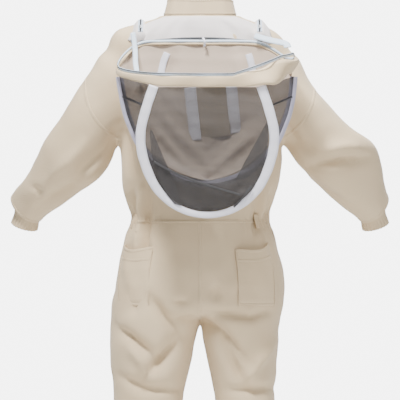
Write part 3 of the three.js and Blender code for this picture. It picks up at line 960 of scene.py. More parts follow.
def sew(seams):
    """A stitched ribbon along every seam, in one piece for each seam and side."""
    for name, one, other, moves in SEAMS:
        for side in ("left", "right", ""):
            lines = []
            for (a, b), edges in seams.items():
                if not ((a.startswith(one) if one else a == "") and b.startswith(other)):
                    continue
                ends = {w.rsplit("_", 1)[-1] for w in (a, b)} & {"left", "right"}
                if (side in ends if len(ends) == 1 else side == ""):
                    lines += chains(edges)
            if not lines:
                continue
            parts = []
            for i, line in enumerate(lines):
                both = np.array([[*p, *n] for p, n in line])
                closed = np.linalg.norm(both[0, :3] - both[-1, :3]) < 1e-6
                even = softened(evened(both, 0.005), 4, closed)
                part = ribbon_mesh(f"{name}_{side}_{i}", even[:, :3], even[:, 3:], SEAM_WIDTH, SEAM_HEIGHT)
                parts.append(part)
            piece = joined("_".join(filter(None, [name, side])), parts)
            finished(piece, "seam", **(motion_of(f"{moves}_{side}") if moves else {"body": "torso"}))


# ---- curves ----------------------------------------------------------------------------------
CURVE_STEPS = 12


def curve_through(points, count, closed=False):
    """Evenly spaced points on a smooth curve through the given ones."""
    p = [Vector(q) for q in points]
    fine = []
    total = len(p) if closed else len(p) - 1
    for i in range(total):
        if closed:
            a, b, c, d = (p[(i + k - 1) % len(p)] for k in range(4))
        else:
            a, b, c, d = p[max(i - 1, 0)], p[i], p[i + 1], p[min(i + 2, len(p) - 1)]
        for k in range(CURVE_STEPS):
            t = k / CURVE_STEPS
            fine.append(0.5 * ((2 * b) + (c - a) * t + (2 * a - 5 * b + 4 * c - d) * t * t
                               + (3 * b - a - 3 * c + d) * t ** 3))
    fine.append(p[0].copy() if closed else p[-1].copy())
    f = np.array(fine)
    run = run_along(f)
    out = at_places(np.linspace(0, run[-1], count + 1), run, f)
    return out[:-1] if closed else out


def grid_of(rows, columns, point):
    """Rows of point(t, u), where t runs 0 to 1 down the rows and u 0 to 1 across them."""
    return [[point(r / rows, c / columns) for c in range(columns + 1)] for r in range(rows + 1)]


def grid_piece(name, grid, wrapped=False):
    """A sheet of quads over a grid of points, its UV in metres along the two ways."""
    g = np.array(grid, float)
    rows, columns = g.shape[:2]
    faces = []
    for r in range(rows - 1):
        for c in range(columns if wrapped else columns - 1):
            d = (c + 1) % columns
            faces.append((r * columns + c, r * columns + d, (r + 1) * columns + d, (r + 1) * columns + c))
    across = np.linalg.norm(np.diff(g, axis=1), axis=2).mean(0)
    down = np.linalg.norm(np.diff(g, axis=0), axis=2).mean(1)
    u = np.concatenate([[0], np.cumsum(across)])
    v = np.concatenate([[0], np.cumsum(down)])
    piece = new_object(name, g.reshape(-1, 3), faces)
    return set_uv(piece, lambda i: (u[i % columns], v[i // columns]))


def torso_point(degrees, z, lift=0.0):
    rows = np.array(TORSO_ROWS)[::-1]
    half_width = np.interp(z, rows[:, 0], rows[:, 1])
    back = np.interp(z, rows[:, 0], rows[:, 2])
    return on_level((z, half_width, back), math.radians(degrees), lift)


# ---- collar, nape flap, cuffs ----------------------------------------------------------------
COLLAR_HEIGHT = 0.0435
COLLAR_GAP = 4.5
COLLAR_TAPER = 0.10


def collar():
    """Stand collar, open at the front, a little wavy along its top, with two rows of edge stitching."""
    def point(t, u):
        z = 0.001 + COLLAR_HEIGHT * t
        angle = COLLAR_GAP + (360 - 2 * COLLAR_GAP) * u
        x, y, _ = torso_point(angle, 0.0)
        wave = 0.0014 * math.sin(angle * 0.11) * t + 0.0010 * math.sin(angle * 0.27 + 2) * t
        scale = (1 - COLLAR_TAPER * t) * (1 + wave / 0.09)
        y = y * scale if y < 0 else (FRONT_Y - FRONT_LEAN * z) * (y / FRONT_Y)
        return x * scale, y, z + 0.0012 * math.sin(angle * 0.06) * t

    grid = grid_of(12, 120, point)
    piece = grid_piece("collar_cloth", grid)
    area = surface_area(piece.data)
    thickened(piece, 0.0026, 0.0)
    rounded(piece, 0.0008)
    finished(piece, "twill", body="torso", replaces=("collar",))
    declare_cloth(piece, CUT["collar"], area)
    for k, level_row in enumerate((1, 11)):
        row = np.array(grid[level_row])
        out = level(row - row.mean(0))
        ribbon = ribbon_mesh(f"collar_edge_stitching_{k}", row + out * 0.0013, out, 0.007, 0.0006)
        finished(ribbon, "seam", body="torso")


def rounded(piece, width):
    """The piece with its sharp edges bevelled."""
    bevel = piece.modifiers.new("edges", "BEVEL")
    bevel.width = width
    bevel.segments = 2
    bevel.limit_method = "ANGLE"
    bevel.angle_limit = math.radians(40)
    return baked(piece)


FLAP_START = 124
FLAP_SPAN = 112


def nape_flap():
    """Pale flap over the hood seam, lifting in small waves, bound along its lower edge."""
    def point(t, u):
        angle = FLAP_START + FLAP_SPAN * u
        z = -0.003 - 0.065 * t - 0.004 * t * math.sin(u * math.pi * 3)
        lift = 0.0035 + 0.0018 * t * math.sin(angle * 0.5) + 0.0012 * math.sin(angle * 0.21 + 4 * t)
        return torso_point(angle, z, lift)

    grid = grid_of(16, 96, point)
    piece = grid_piece("nape_flap_cloth", grid)
    made_up(piece, "pale_twill", "nape_flap", CUT["nape_flap"])
    edge = np.array(grid[-1])[7:-7]
    out = level(edge)
    ribbon = ribbon_mesh("nape_flap_binding", edge + 0.0014 * out, out, 0.006, 0.0016)
    finished(ribbon, "zip_teeth", body="torso")


CUFF_RADIUS = 0.0345
CUFF_GATHERS = 24


def cuff(side):
    """Cuff gathered by its elastic, inside the open end of the sleeve."""
    sign = sign_of(side)
    start, end = (np.array(place) for place in CUFF_ENDS)
    along = unit(end - start)
    across, deep = frame_across(along)

    def point(t, u):
        angle = 2 * math.pi * u
        gather = math.sin(angle * CUFF_GATHERS + 1.2 * math.sin(t * 6)) * (0.6 + 0.4 * math.cos(t * 7))
        radius = CUFF_RADIUS + 0.003 * t + 0.0035 * math.exp(-(t / 0.3) ** 2) + 0.0013 * gather
        p = start + (end - start) * t + (across * math.cos(angle) + deep * math.sin(angle)) * radius
        return -sign * p[0], p[1], p[2]

    rings = [ring[:-1] for ring in grid_of(24, 144, point)]
    grid = rings if sign < 0 else [ring[::-1] for ring in rings]
    piece = grid_piece(f"cuff_{side}_cloth", grid, wrapped=True)
    made_up(piece, "twill", f"cuff_{side}", CUT["cuff"], 0.0016,
            f"sleeve_{side}")


ELASTIC_TOP = -0.548
ELASTIC_HEIGHT = 0.040
ELASTIC_GATHERS = 11
ELASTIC_ANGLES = {"right": (58, 128), "left": (232, 302)}


def waist_elastic(side):
    """Casing over the elastic at the side of the waist, gathered with the cloth."""
    low, high = ELASTIC_ANGLES[side]

    def point(t, u):
        z = ELASTIC_TOP - ELASTIC_HEIGHT * t + 0.0012 * math.sin(u * 60)
        across = max(math.sin(math.pi * u), 0.0)
        swell = max(math.sin(math.pi * t), 0.0) ** 0.5 * 0.0035 * across ** 0.35 - 0.0030
        gathers = math.sin(u * 2 * math.pi * ELASTIC_GATHERS + 0.5 * math.sin(t * 5))
        return torso_point(low + (high - low) * u, z, -0.0065 + swell + 0.0026 * gathers * across ** 0.3)

    piece = grid_piece(f"waist_elastic_{side}_casing", grid_of(12, 140, point))
    made_up(piece, "twill", f"waist_elastic_{side}", CUT["waist_elastic"],
            0.0016)


# ---- hip pockets -----------------------------------------------------------------------------
POCKET_TOP = -0.634
POCKET_BOTTOM = -0.800
POCKET_MOUTH_GAP = 0.017
POCKET_ANGLES = {"right": (122, 158), "left": (212, 250)}
POCKET_SLOPE = {"right": 0.018, "left": 0.006}


def hip_pocket(side):
    """Patch pocket: a hemmed mouth that gapes, pressed edges and two rows of stitching."""
    low, high = POCKET_ANGLES[side]

    def point(t, u):
        outer = 1 - u if side == "right" else u
        across = math.sin(math.pi * u)
        z = POCKET_TOP + POCKET_SLOPE[side] * (outer - 0.5) * (1 - t) + (POCKET_BOTTOM - POCKET_TOP) * t
        z -= 0.011 * across ** 1.5 * (1 - t) ** 3
        gape = POCKET_MOUTH_GAP * across ** 0.8 * (1 - t) ** 1.6
        sag = 0.0022 * math.sin(9 * u + 6 * t) * across * math.sin(math.pi * t)
        return torso_point(low + (high - low) * u, z, 0.0028 + gape + sag)

    grid = grid_of(33, 48, point)
    piece = grid_piece(f"hip_pocket_{side}_cloth", grid)
    made_up(piece, "twill", f"hip_pocket_{side}", CUT["hip_pocket"])
    g = np.array(grid)
    border = np.concatenate([g[2:, 1], g[-2, 2:-2], g[::-1][:-2, -2]])
    for name, line in (("border", border), ("mouth_edge", g[1, 1:-1]), ("mouth_hem", g[7, 1:-1])):
        out = level(line)
        even = evened(np.concatenate([line + out * 0.0011, out], 1), 0.004)
        strip = ribbon_mesh(f"hip_pocket_{side}_{name}", even[:, :3], even[:, 3:], 0.0075, 0.0008)
        finished(strip, "seam", body="torso")


# ---- zips ------------------------------------------------------------------------------------
# A tooth is length along the zip, width across it, height; a slider is length, width, height.
FRONT_TOOTH = (0.0017, 0.0036, 0.0026)
FRONT_TOOTH_PITCH = 0.0030
NECK_TOOTH = (0.0016, 0.0030, 0.0018)
NECK_TOOTH_PITCH = 0.0028
RIM_TOOTH = (0.0016, 0.0028, 0.0018)
RIM_TOOTH_PITCH = 0.0029
FRONT_SLIDER = (0.015, 0.0100, 0.0062)
NECK_SLIDER = (0.011, 0.008, 0.0046)
def box_mesh(centre, along, across, out, size):
    """Corners and faces of a small block that tapers outwards."""
    half_length, half_width, half_height = (s / 2 for s in size)
    corners = []
    for k, taper in ((-1, 1.0), (1, 0.72)):
        for i, j in ((-1, -1), (1, -1), (1, 1), (-1, 1)):
            corners.append(centre + along * i * half_length * taper + across * j * half_width * taper
                           + out * k * half_height)
    faces = [(0, 3, 2, 1), (4, 5, 6, 7), (0, 1, 5, 4), (1, 2, 6, 5), (2, 3, 7, 6), (3, 0, 4, 7)]
    return corners, faces


def teeth_row(name, centres, across, outs, size, pitch, shift):
    """Moulded teeth along a line, each its own block."""
    even = evened(np.concatenate([centres, across, outs], 1), pitch)
    tangents = np.gradient(even[:, :3], axis=0)
    vertices, faces = [], []
    for point, tangent in zip(even, tangents):
        along = Vector(tangent).normalized()
        place = Vector(point[:3]) + along * shift * pitch
        sideways, out = Vector(point[3:6]).normalized(), Vector(point[6:]).normalized()
        add_part(vertices, faces, *box_mesh(place, along, sideways, out, size))
    return new_object(name, vertices, faces)


SLIDER_WAIST = (0.30, 0.44, 0.5, 0.42, 0.36, 0.42, 0.5, 0.40)
SLIDER_SECTION = ((-1, 0.1), (-0.9, 0.9), (0.9, 0.9), (1, 0.1), (0.9, -0.7), (-0.9, -0.7))
SQUARE = ((-1, -1), (1, -1), (1, 1), (-1, 1))


def zip_slider(name, centre, along, out, length, width, height):
    """A waisted slider with a bridge over it."""
    across = along.cross(out).normalized()
    body, bridge = [], []
    for k, half in enumerate(SLIDER_WAIST):
        t = -0.5 + k / (len(SLIDER_WAIST) - 1)
        body.append([
            centre + along * t * length + across * width * half * a + out * height * 0.5 * b
            for a, b in SLIDER_SECTION
        ])
    for k in range(9):
        t = -0.32 + 0.64 * k / 8
        rise = 0.45 + 0.55 * math.sin(math.pi * k / 8)
        bridge.append([
            centre + along * t * length + across * width * 0.16 * a + out * (height * rise + 0.0007 * b)
            for a, b in SQUARE
        ])
    vertices, faces = [], []
    add_part(vertices, faces, *loft(body))
    add_part(vertices, faces, *loft(bridge))
    return rounded(new_object(name, vertices, faces), 0.0004)


FRONT_ZIP_TOP = 0.042
FRONT_ZIP_BOTTOM = -0.736
FRONT_ZIP_DEPTH = 0.0042
FRONT_TAPE = 0.0148
FRONT_SLIDER_Z = -0.016
PULL_LENGTH = 0.0240
PULL_SECTION = ((-1, -0.6), (-0.8, -1), (0.8, -1), (1, -0.6), (1, 0.6), (0.8, 1), (-0.8, 1), (-1, 0.6))


def front_zip():
    """The front zip: two tapes with their teeth, the slider near the top and its pull tab."""
    heights = np.linspace(FRONT_ZIP_TOP, FRONT_ZIP_BOTTOM, 120)
    forward = Vector((0, 1, FRONT_LEAN)).normalized()
    out = alike(forward, heights)
    for side in ("left", "right"):
        sign = sign_of(side)
        line = np.array([(sign * 0.0086, front_y(z) - FRONT_ZIP_DEPTH, z) for z in heights])
        piece = ribbon_mesh(f"front_zip_tape_{side}_woven", line, out, FRONT_TAPE, 0.0008)
        finished(piece, "blue_tape", body="torso", replaces=(f"front_zip_tape_{side}",))
        centres = np.array([(sign * 0.0013, front_y(z) - FRONT_ZIP_DEPTH + 0.0020, z) for z in heights])
        row = teeth_row(f"front_zip_teeth_{side}_moulded", centres, alike((sign, 0, 0), heights), out,
                        FRONT_TOOTH, FRONT_TOOTH_PITCH, 0.5 if sign > 0 else 0.0)
        finished(row, "zip_teeth", body="torso", replaces=(f"front_zip_teeth_{side}",))
    z = FRONT_SLIDER_Z
    along = Vector((0, -FRONT_LEAN, 1)).normalized()
    centre = Vector((0, front_y(z) + 0.003, z))
    slider = zip_slider("front_zip_slider_body", centre, along, forward, *FRONT_SLIDER)
    finished(slider, "zip_metal", body="front_slider", replaces=("front_zip_slider",))
    rows = []
    hang = Vector((0, front_y(z) + 0.0092, z + 0.002))
    for k in range(13):
        t = k / 12
        half = 0.0024 + 0.0011 * t + 0.0004 * math.sin(math.pi * t)
        rows.append([hang + Vector((a * half, 0.0007 * b, -PULL_LENGTH * t)) for a, b in PULL_SECTION])
    tab = new_object("front_zip_pull_tab", *loft(rows))
    finished(rounded(tab, 0.0003), "zip_metal", body="front_pull", replaces=("front_zip_pull",))


NECK_ZIP_X = 0.164
NECK_ZIP_CENTRE = (-0.008, -0.125)
NECK_ZIP_RADIUS = 0.114
NECK_ZIP_HALF_ANGLE = 46
NECK_SLIDER_PARK = 38
NECK_RIDGE_HALF_ANGLE = 62
NECK_RIDGE_DROP = 0.030
# Cloth that carries the neck zip up off the shoulder: sideways, and up from the back of the tape.
RIDGE_SECTION = [
    (-0.036, -0.034), (-0.024, -0.020), (-0.014, -0.008), (-0.008, -0.0012), (0.0, -0.0008),
    (0.008, -0.0012), (0.014, -0.008), (0.024, -0.020), (0.036, -0.034),
]


def neck_zip(side):
    """Zip over the shoulder that joins the hood to the suit: tape, two rows of teeth, a slider."""
    x = sign_of(side) * NECK_ZIP_X
    y, z = NECK_ZIP_CENTRE
    angles = np.radians(np.linspace(-NECK_ZIP_HALF_ANGLE, NECK_ZIP_HALF_ANGLE, 70))
    out = np.stack([np.zeros(len(angles)), np.sin(angles), np.cos(angles)], 1)
    base = np.array([x, y, z])
    line = base + out * NECK_ZIP_RADIUS
    tape_piece = ribbon_mesh(f"neck_zip_tape_{side}_woven", line, out, 0.014, 0.0010)
    finished(tape_piece, "blue_tape", body="torso", replaces=(f"neck_zip_tape_{side}",))
    grid = []
    for shift_x, rise in RIDGE_SECTION:
        row = []
        for degrees in np.linspace(-NECK_RIDGE_HALF_ANGLE, NECK_RIDGE_HALF_ANGLE, 80):
            over = (abs(degrees) - NECK_ZIP_HALF_ANGLE) / (NECK_RIDGE_HALF_ANGLE - NECK_ZIP_HALF_ANGLE)
            radius = NECK_ZIP_RADIUS + rise - NECK_RIDGE_DROP * max(over, 0) ** 1.5
            angle = math.radians(degrees)
            row.append((x + shift_x, y + radius * math.sin(angle), z + radius * math.cos(angle)))
        grid.append(row)
    ridge = grid_piece(f"neck_ridge_{side}", grid)
    finished(thickened(ridge, 0.0012, 0.0), "pale_twill", body="torso")
    area = surface_area(ridge.data) / 2
    declare_cloth(ridge, CUT["neck_ridge"], area)
    pieces = []
    for row, shift in ((-1, 0.0), (1, 0.5)):
        centres = line + out * 0.0022 + np.array([row * 0.0011, 0, 0])
        pieces.append(teeth_row(f"row_{row}", centres, alike((1, 0, 0), line), out,
                                NECK_TOOTH, NECK_TOOTH_PITCH, shift))
    teeth = joined(f"neck_zip_teeth_{side}_moulded", pieces)
    finished(teeth, "zip_teeth", body="torso", replaces=(f"neck_zip_teeth_{side}",))
    park = -math.radians(NECK_SLIDER_PARK)
    up = Vector((0, math.sin(park), math.cos(park)))
    along = Vector((0, math.cos(park), -math.sin(park)))
    centre = Vector(base) + up * (NECK_ZIP_RADIUS + 0.0045)
    slider = zip_slider(f"neck_zip_slider_{side}_body", centre, along, up, *NECK_SLIDER)
    finished(slider, "zip_metal", body=f"neck_slider_{side}", replaces=(f"neck_zip_slider_{side}",))


# ---- hood ------------------------------------------------------------------------------------
NAPE = (-0.118, -0.069)
HOOD_LEAN = 0.020
HOOD_LEAN_RUN = 0.150
HOOD_RIM = [
    (0, -0.120, -0.069), (0.100, -0.120, -0.069), (0.160, -0.123, -0.073), (0.205, -0.148, -0.098),
    (0.238, -0.200, -0.135), (0.225, -0.265, -0.152), (0.150, -0.322, -0.163), (0, -0.346, -0.166),
]
FRONT_HOOP = [
    (0.145, -0.330, -0.200), (0.166, -0.326, -0.262), (0.181, -0.316, -0.330), (0.172, -0.303, -0.402),
    (0.136, -0.288, -0.480), (0.076, -0.275, -0.532), (0, -0.268, -0.550),
]
REAR_HOOP = [
    (0.238, -0.207, -0.172), (0.230, -0.204, -0.230), (0.214, -0.200, -0.292), (0.172, -0.192, -0.376),
    (0.096, -0.184, -0.440), (0, -0.181, -0.464),
]
RIM_TAPE_HEIGHT = 0.0084
RIM_BAND_TOP = 0.0086
FRONT_TAPE_WIDTH = 0.026
REAR_TAPE_WIDTH = 0.016
REAR_TAPE_SHOWN = 0.021
FRONT_TAPE_NARROWS = 0.36


def leaned(point):
    """The hood hangs a little to the right, more so further from the nape."""
    x, y, z = point
    away = math.hypot(y - NAPE[0], z - NAPE[1])
    return (x + HOOD_LEAN * min(away / HOOD_LEAN_RUN, 1), y, z)


def hood_curve(half, count, closed=False):
    """A whole curve from its right half, which starts or ends on the middle."""
    left = [(-x, y, z) for x, y, z in reversed(half)]
    points = half + (left[1:-1] if closed else left[1:])
    return curve_through([leaned(p) for p in points], count, closed)


def swept(name, centres, across, up, rings):
    """A closed loop swept by a section that may change along it: rings[i] holds (across, up) pairs."""
    total, count = len(centres), len(rings[0])
    vertices = [
        Vector(centres[i]) + Vector(across[i]) * a + Vector(up[i]) * b
        for i in range(total) for a, b in rings[i]
    ]
    faces = []
    for r in range(total):
        for c in range(count):
            d, s = (c + 1) % count, (r + 1) % total
            faces.append((r * count + c, r * count + d, s * count + d, s * count + c))
    run = run_along(centres)
    return set_uv(
        new_object(name, vertices, faces),
        lambda i: (run[i // count], math.cos(2 * math.pi * (i % count) / count)),
    )


# Where parts of the rim start and over what run they grow; the band is widest in the right corner.
BACK_OF_RIM = (0.15, 0.12)
RIGHT_OF_RIM = (0.09, 0.10)
LEFT_OF_RIM = (0.10, 0.10)
RIM_CORNER_RISE = 0.042
BAND_SIDES = 20


def rim_section(x, y):
    """Section of the rolled band at a place on the rim, its height, and how far into the right corner."""
    near_back = ramp(-y, *BACK_OF_RIM)
    right = ramp(x, *RIGHT_OF_RIM) * near_back
    left = ramp(-x, *LEFT_OF_RIM) * near_back
    height = 0.006 + 0.0225 * near_back ** 0.5 + 0.034 * right - 0.011 * left
    depth = 0.0042 + 0.0045 * right + 0.0012 * math.sin(x * 60 + y * 41)
    tilt = 0.9 * right * math.sin((x - 0.09) * 26) + 0.10 * math.sin(x * 45)
    ring = []
    for angle in turns(BAND_SIDES):
        a, b = math.cos(angle) * depth, math.sin(angle)
        b = math.copysign(abs(b) ** 0.65, b) * height / 2
        ring.append((a * math.cos(tilt) - b * math.sin(tilt), a * math.sin(tilt) + b * math.cos(tilt)))
    return ring, height, right


def rim():
    """Zip edge and rolled band round the mouth of the hood; the band widens and twists on the right."""
    loop = hood_curve(HOOD_RIM, 200, closed=True)
    loop[:, 2] += RIM_CORNER_RISE * ramp(loop[:, 0], 0.09, 0.13) * ramp(-loop[:, 1], 0.17, 0.08)
    tangent = unit(np.roll(loop, -1, 0) - np.roll(loop, 1, 0))
    down = alike((0, 0, -1), loop)
    up = -down
    outward = unit(np.cross(down, tangent))
    if np.sum(outward * (loop - loop.mean(0))) < 0:
        outward = -outward
    rings, centres = [], []
    for i, point in enumerate(loop):
        x, y = point[0], point[1]
        ring, height, right = rim_section(x, y)
        rings.append(ring)
        wave = 0.0016 * math.sin(x * 70 + 2 * y) + 0.0022 * right * math.sin(x * 120)
        drop = RIM_BAND_TOP + height / 2 + 0.002 * right
        centres.append(point + down[i] * drop + outward[i] * (0.001 + wave))
    band = swept("hood_rim_band_rolled", np.array(centres), outward, up, rings)
    finished(band, "seam", body="hood", replaces=("hood_rim_band",))
    surface_area(band.data) / 2
    half = RIM_TAPE_HEIGHT / 2
    tape_rings = []
    for point in loop:
        lift = 0.0006 * math.sin(point[0] * 55)
        outer, inner = 0.0011 + lift, -0.0009 + lift
        tape_rings.append([(outer, half), (outer, -half), (inner, -half), (inner, half)])
    edge = swept("hood_rim_zip_edge", loop + down * half, outward, up, tape_rings)
    finished(edge, "blue_tape", body="hood", replaces=("hood_rim_zip_tape",))
    surface_area(edge.data) / 2
    line = np.concatenate([loop, loop[:1]])
    outs = np.concatenate([outward, outward[:1]])
    teeth = teeth_row("hood_rim_zip_teeth", line + np.array([0, 0, -0.0018]) + outs * 0.0016,
                      alike((0, 0, 1), line), outs, RIM_TOOTH, RIM_TOOTH_PITCH, 0.0)
    finished(teeth, "zip_teeth", body="hood")


def hoop_across(path):
    """The direction across a hoop's tape, seen from behind, at every point of its path."""
    return unit(np.cross(unit(np.gradient(path, axis=0)), [0.0, 1.0, 0.0]))


TAPE_SECTION = [
    (-1.0, 0.25), (-0.96, 0.55), (-0.7, 0.75), (-0.45, 1.0), (0.0, 1.12), (0.45, 1.0), (0.7, 0.75),
    (0.96, 0.55), (1.0, 0.25), (0.96, 0.0), (-0.96, 0.0),
]


def hoop_tape(name, half, width, look):
    """Folded tape sewn round a spring hoop, a little puckered along its stitching."""
    path = hood_curve(half, 150)
    count = np.arange(len(path))
    path[:, 1] -= 0.0005 * np.sin(count * 1.1)
    wide = width * (1 + 0.02 * np.sin(count * 0.7))
    if name == "front_hoop":
        wide *= 1 - FRONT_TAPE_NARROWS * bump(path[:, 2], -0.565, 0.08)
    piece = ribbon_mesh(f"{name}_tape_folded", path, alike((0, -1, 0), path), wide, 0.0030, TAPE_SECTION)
    finished(piece, look, body="hood", replaces=(f"{name}_tape",))
    area = surface_area(piece.data) / 2
    return path


# Creases of the hanging hood cloth and its net: width, depth outwards (below 0 inwards), line as x, z.
HOOD_CREASES = [
    (0.010, 0.012, [(-0.135, -0.300), (-0.085, -0.360), (-0.030, -0.420)]),
    (0.010, 0.012, [(0.165, -0.315), (0.100, -0.370), (0.030, -0.430)]),
    (0.012, 0.009, [(-0.120, -0.255), (-0.060, -0.330), (0.010, -0.395)]),
    (0.012, -0.008, [(0.150, -0.280), (0.080, -0.330), (0.020, -0.380)]),
    (0.014, 0.008, [(-0.100, -0.400), (0.000, -0.440), (0.100, -0.420)]),
    (0.012, -0.007, [(-0.070, -0.110), (-0.080, -0.200)]),
    (0.012, 0.006, [(0.100, -0.100), (0.120, -0.200)]),
]
NET_CREASES = [
    (0.009, 0.010, [(-0.120, -0.400), (0.020, -0.465), (0.110, -0.495)]),
    (0.009, 0.010, [(0.145, -0.470), (0.090, -0.530)]),
    (0.016, -0.010, [(-0.120, -0.330), (-0.060, -0.420)]),
    (0.016, -0.010, [(0.160, -0.330), (0.100, -0.420)]),
    (0.014, 0.007, [(-0.100, -0.230), (-0.020, -0.300), (0.060, -0.320)]),
]


def creased(points, creases):
    """Grid points moved along the creases: a depth above 0 is outwards, away from the wearer's back."""
    x, z = points[..., 0].ravel(), points[..., 2].ravel()
    height = np.zeros(x.shape)
    for width, depth, line in creases:
        distance, along = line_distance(x, z, line)
        fade = np.sin(np.pi * np.clip(along, 0.08, 0.92)) ** 0.6
        height += depth * np.exp(-0.5 * (distance / width) ** 2) * fade
    points[..., 1] -= height.reshape(points.shape[:-1])
    return points


def between_sides(path, rows, columns, bulge):
    """Rows across the inside of a hoop, from its two ends down to its foot."""
    last = len(path) - 1
    index = np.arange(last + 1)

    def point(t, u):
        near = (last / 2 - 0.6) * t
        right, left = at_places(near, index, path), at_places(last - near, index, path)
        return right + (left - right) * u + np.array(bulge(u, t))

    return np.array(grid_of(rows, columns, point))


def flat_uv(piece):
    """UV in metres from the front, so that a net's squares hang straight."""
    co = coordinates(piece.data)
    return set_uv(piece, lambda i: (co[i][0], co[i][2] + 0.3 * co[i][1]))


def hood_nets(front, rear):
    """See-through netting: the sides between the hoops and the face inside the front hoop."""
    start, stop = front + np.array([0, 0.006, 0]), rear + np.array([0, -0.005, 0])
    across = hoop_across(front)
    count = np.arange(len(front))
    grid = []
    for t in np.arange(15) / 14:
        ripple = np.sin(count * 0.33 + 2.0 * t) * 0.006 + np.sin(count * 0.11) * 0.004
        sag = math.sin(math.pi * t) * (0.007 + ripple)
        grid.append(start + (stop - start) * t - across * sag[:, None])
    side_grid = np.array(grid)
    side = grid_piece("hood_side_net_hung", side_grid)
    finished(side, "netting", body="hood", replaces=("hood_side_net",))
    declare_cloth(side, CUT["side_net"])

    def bulge(u, v):
        return 0, -math.sin(math.pi * u) * (0.014 * (1 - v) - 0.004 * math.sin(7 * u + 5 * v)), 0

    inside = front - across * (FRONT_TAPE_WIDTH / 2 - 0.002) + np.array([0, 0.002, 0])
    face_grid = creased(between_sides(inside, 60, 60, bulge), NET_CREASES)
    face = flat_uv(grid_piece("hood_face_net_hung", face_grid))
    finished(face, "netting", body="hood", replaces=("hood_face_net",))
    declare_cloth(face, CUT["face_net"])
    return side_grid, face_grid


NAPE_EDGE_Y = -0.205
NAPE_EDGE_DROP = (0, 0.002, -0.011)
HOOD_BACK_HOLLOW = 0.030


def hood_back(rear):
    """Khaki back of the hood, hanging from the nape edge inside the rear hoop, with its creases."""
    inside = rear - hoop_across(rear) * (REAR_TAPE_WIDTH / 2 + 0.0005)
    near_nape = np.roll(hood_curve(HOOD_RIM, 240, closed=True), 90, 0)[:181]
    edge = near_nape[near_nape[:, 1] > NAPE_EDGE_Y][::-1] + np.array(NAPE_EDGE_DROP)
    edge = evened(edge if edge[0, 0] > 0 else edge[::-1], 0.006)
    index = np.arange(len(edge))
    right, left = inside[0], inside[-1]

    def bulge(u, v):
        fade = (1 - v) ** 0.8
        dx, dy, dz = (at_places(u * index[-1], index, edge) - (right + (left - right) * u)) * fade
        return dx, dy + HOOD_BACK_HOLLOW * (1 - fade) * max(math.sin(math.pi * u), 0.0) ** 0.5, dz

    grid = creased(between_sides(inside, 70, 90, bulge), HOOD_CREASES)
    piece = grid_piece("hood_back_cloth", grid)
    made_up(piece, "hood_twill", "hood_back_panel", CUT["hood_back"], CLOTH, "hood")
    return grid


def strip_on(name, grid, line, width, look, height=0.0012, lift=0.0014):
    """A tape laid on a hung cloth along a line given as x, z."""
    points = []
    flat = grid.reshape(-1, 3)
    for x, _, z in curve_through([(x, 0, z) for x, z in line], 40):
        near = np.argsort((flat[:, 0] - x) ** 2 + (flat[:, 2] - z) ** 2)[:4]
        weight = 1 / (np.hypot(flat[near, 0] - x, flat[near, 2] - z) + 1e-4)
        points.append((x, np.average(flat[near, 1], weights=weight) - lift, z))
    centres = softened(np.array(points), 3, False)
    return finished(ribbon_mesh(name, centres, alike((0, -1, 0), centres), width, height), look, body="hood")


HOOD_STRIPS = [
    ("left_upper", 0.019, [(-0.090, -0.105), (-0.100, -0.130), (-0.108, -0.165)]),
    ("right_upper", 0.019, [(0.133, -0.108), (0.140, -0.130), (0.146, -0.160)]),
    ("left", 0.032, [(-0.028, -0.200), (-0.020, -0.270), (-0.012, -0.345)]),
    ("right", 0.031, [(0.086, -0.195), (0.092, -0.260), (0.098, -0.325)]),
]
HOOD_PATCH = [(0.034, -0.198), (0.037, -0.270), (0.043, -0.338)]
NET_SEAMS = [
    ("face_low", [(-0.125, -0.405), (-0.060, -0.440), (0.015, -0.467), (0.110, -0.495)]),
    ("face_right", [(0.140, -0.470), (0.118, -0.500), (0.092, -0.528)]),
]
SIDE_SEAM_COLUMNS = (10, 140)
# Tapes that hang loose: name, width, look, body, line.
LOOSE_TAPES = [
    ("neck_tape_end_left", 0.014, "blue_tape", "hood", [
        (-0.184, -0.128, -0.050), (-0.178, -0.150, -0.095), (-0.176, -0.190, -0.135),
        (-0.172, -0.222, -0.158)]),
    ("neck_tape_end_right", 0.020, "blue_tape", "hood", [
        (0.150, -0.134, -0.058), (0.190, -0.140, -0.070), (0.232, -0.160, -0.080), (0.240, -0.190, -0.092)]),
    ("hanging_loop", 0.006, "white_tape", "torso", [
        (0.008, -0.131, -0.064), (0.013, -0.139, -0.074), (0.012, -0.134, -0.088)]),
]
# Darker places where the netting lies double: outer and inner line of each.
NET_WEDGES = [
    (
        [(-0.136, -0.322, -0.320), (-0.128, -0.308, -0.400), (-0.098, -0.290, -0.480),
         (-0.070, -0.282, -0.520)],
        [(-0.130, -0.322, -0.320), (-0.096, -0.308, -0.400), (-0.062, -0.290, -0.480),
         (-0.050, -0.282, -0.525)],
    ),
    (
        [(0.186, -0.316, -0.310), (0.176, -0.306, -0.390), (0.128, -0.292, -0.450)],
        [(0.180, -0.316, -0.300), (0.130, -0.306, -0.390), (0.095, -0.292, -0.455)],
    ),
]


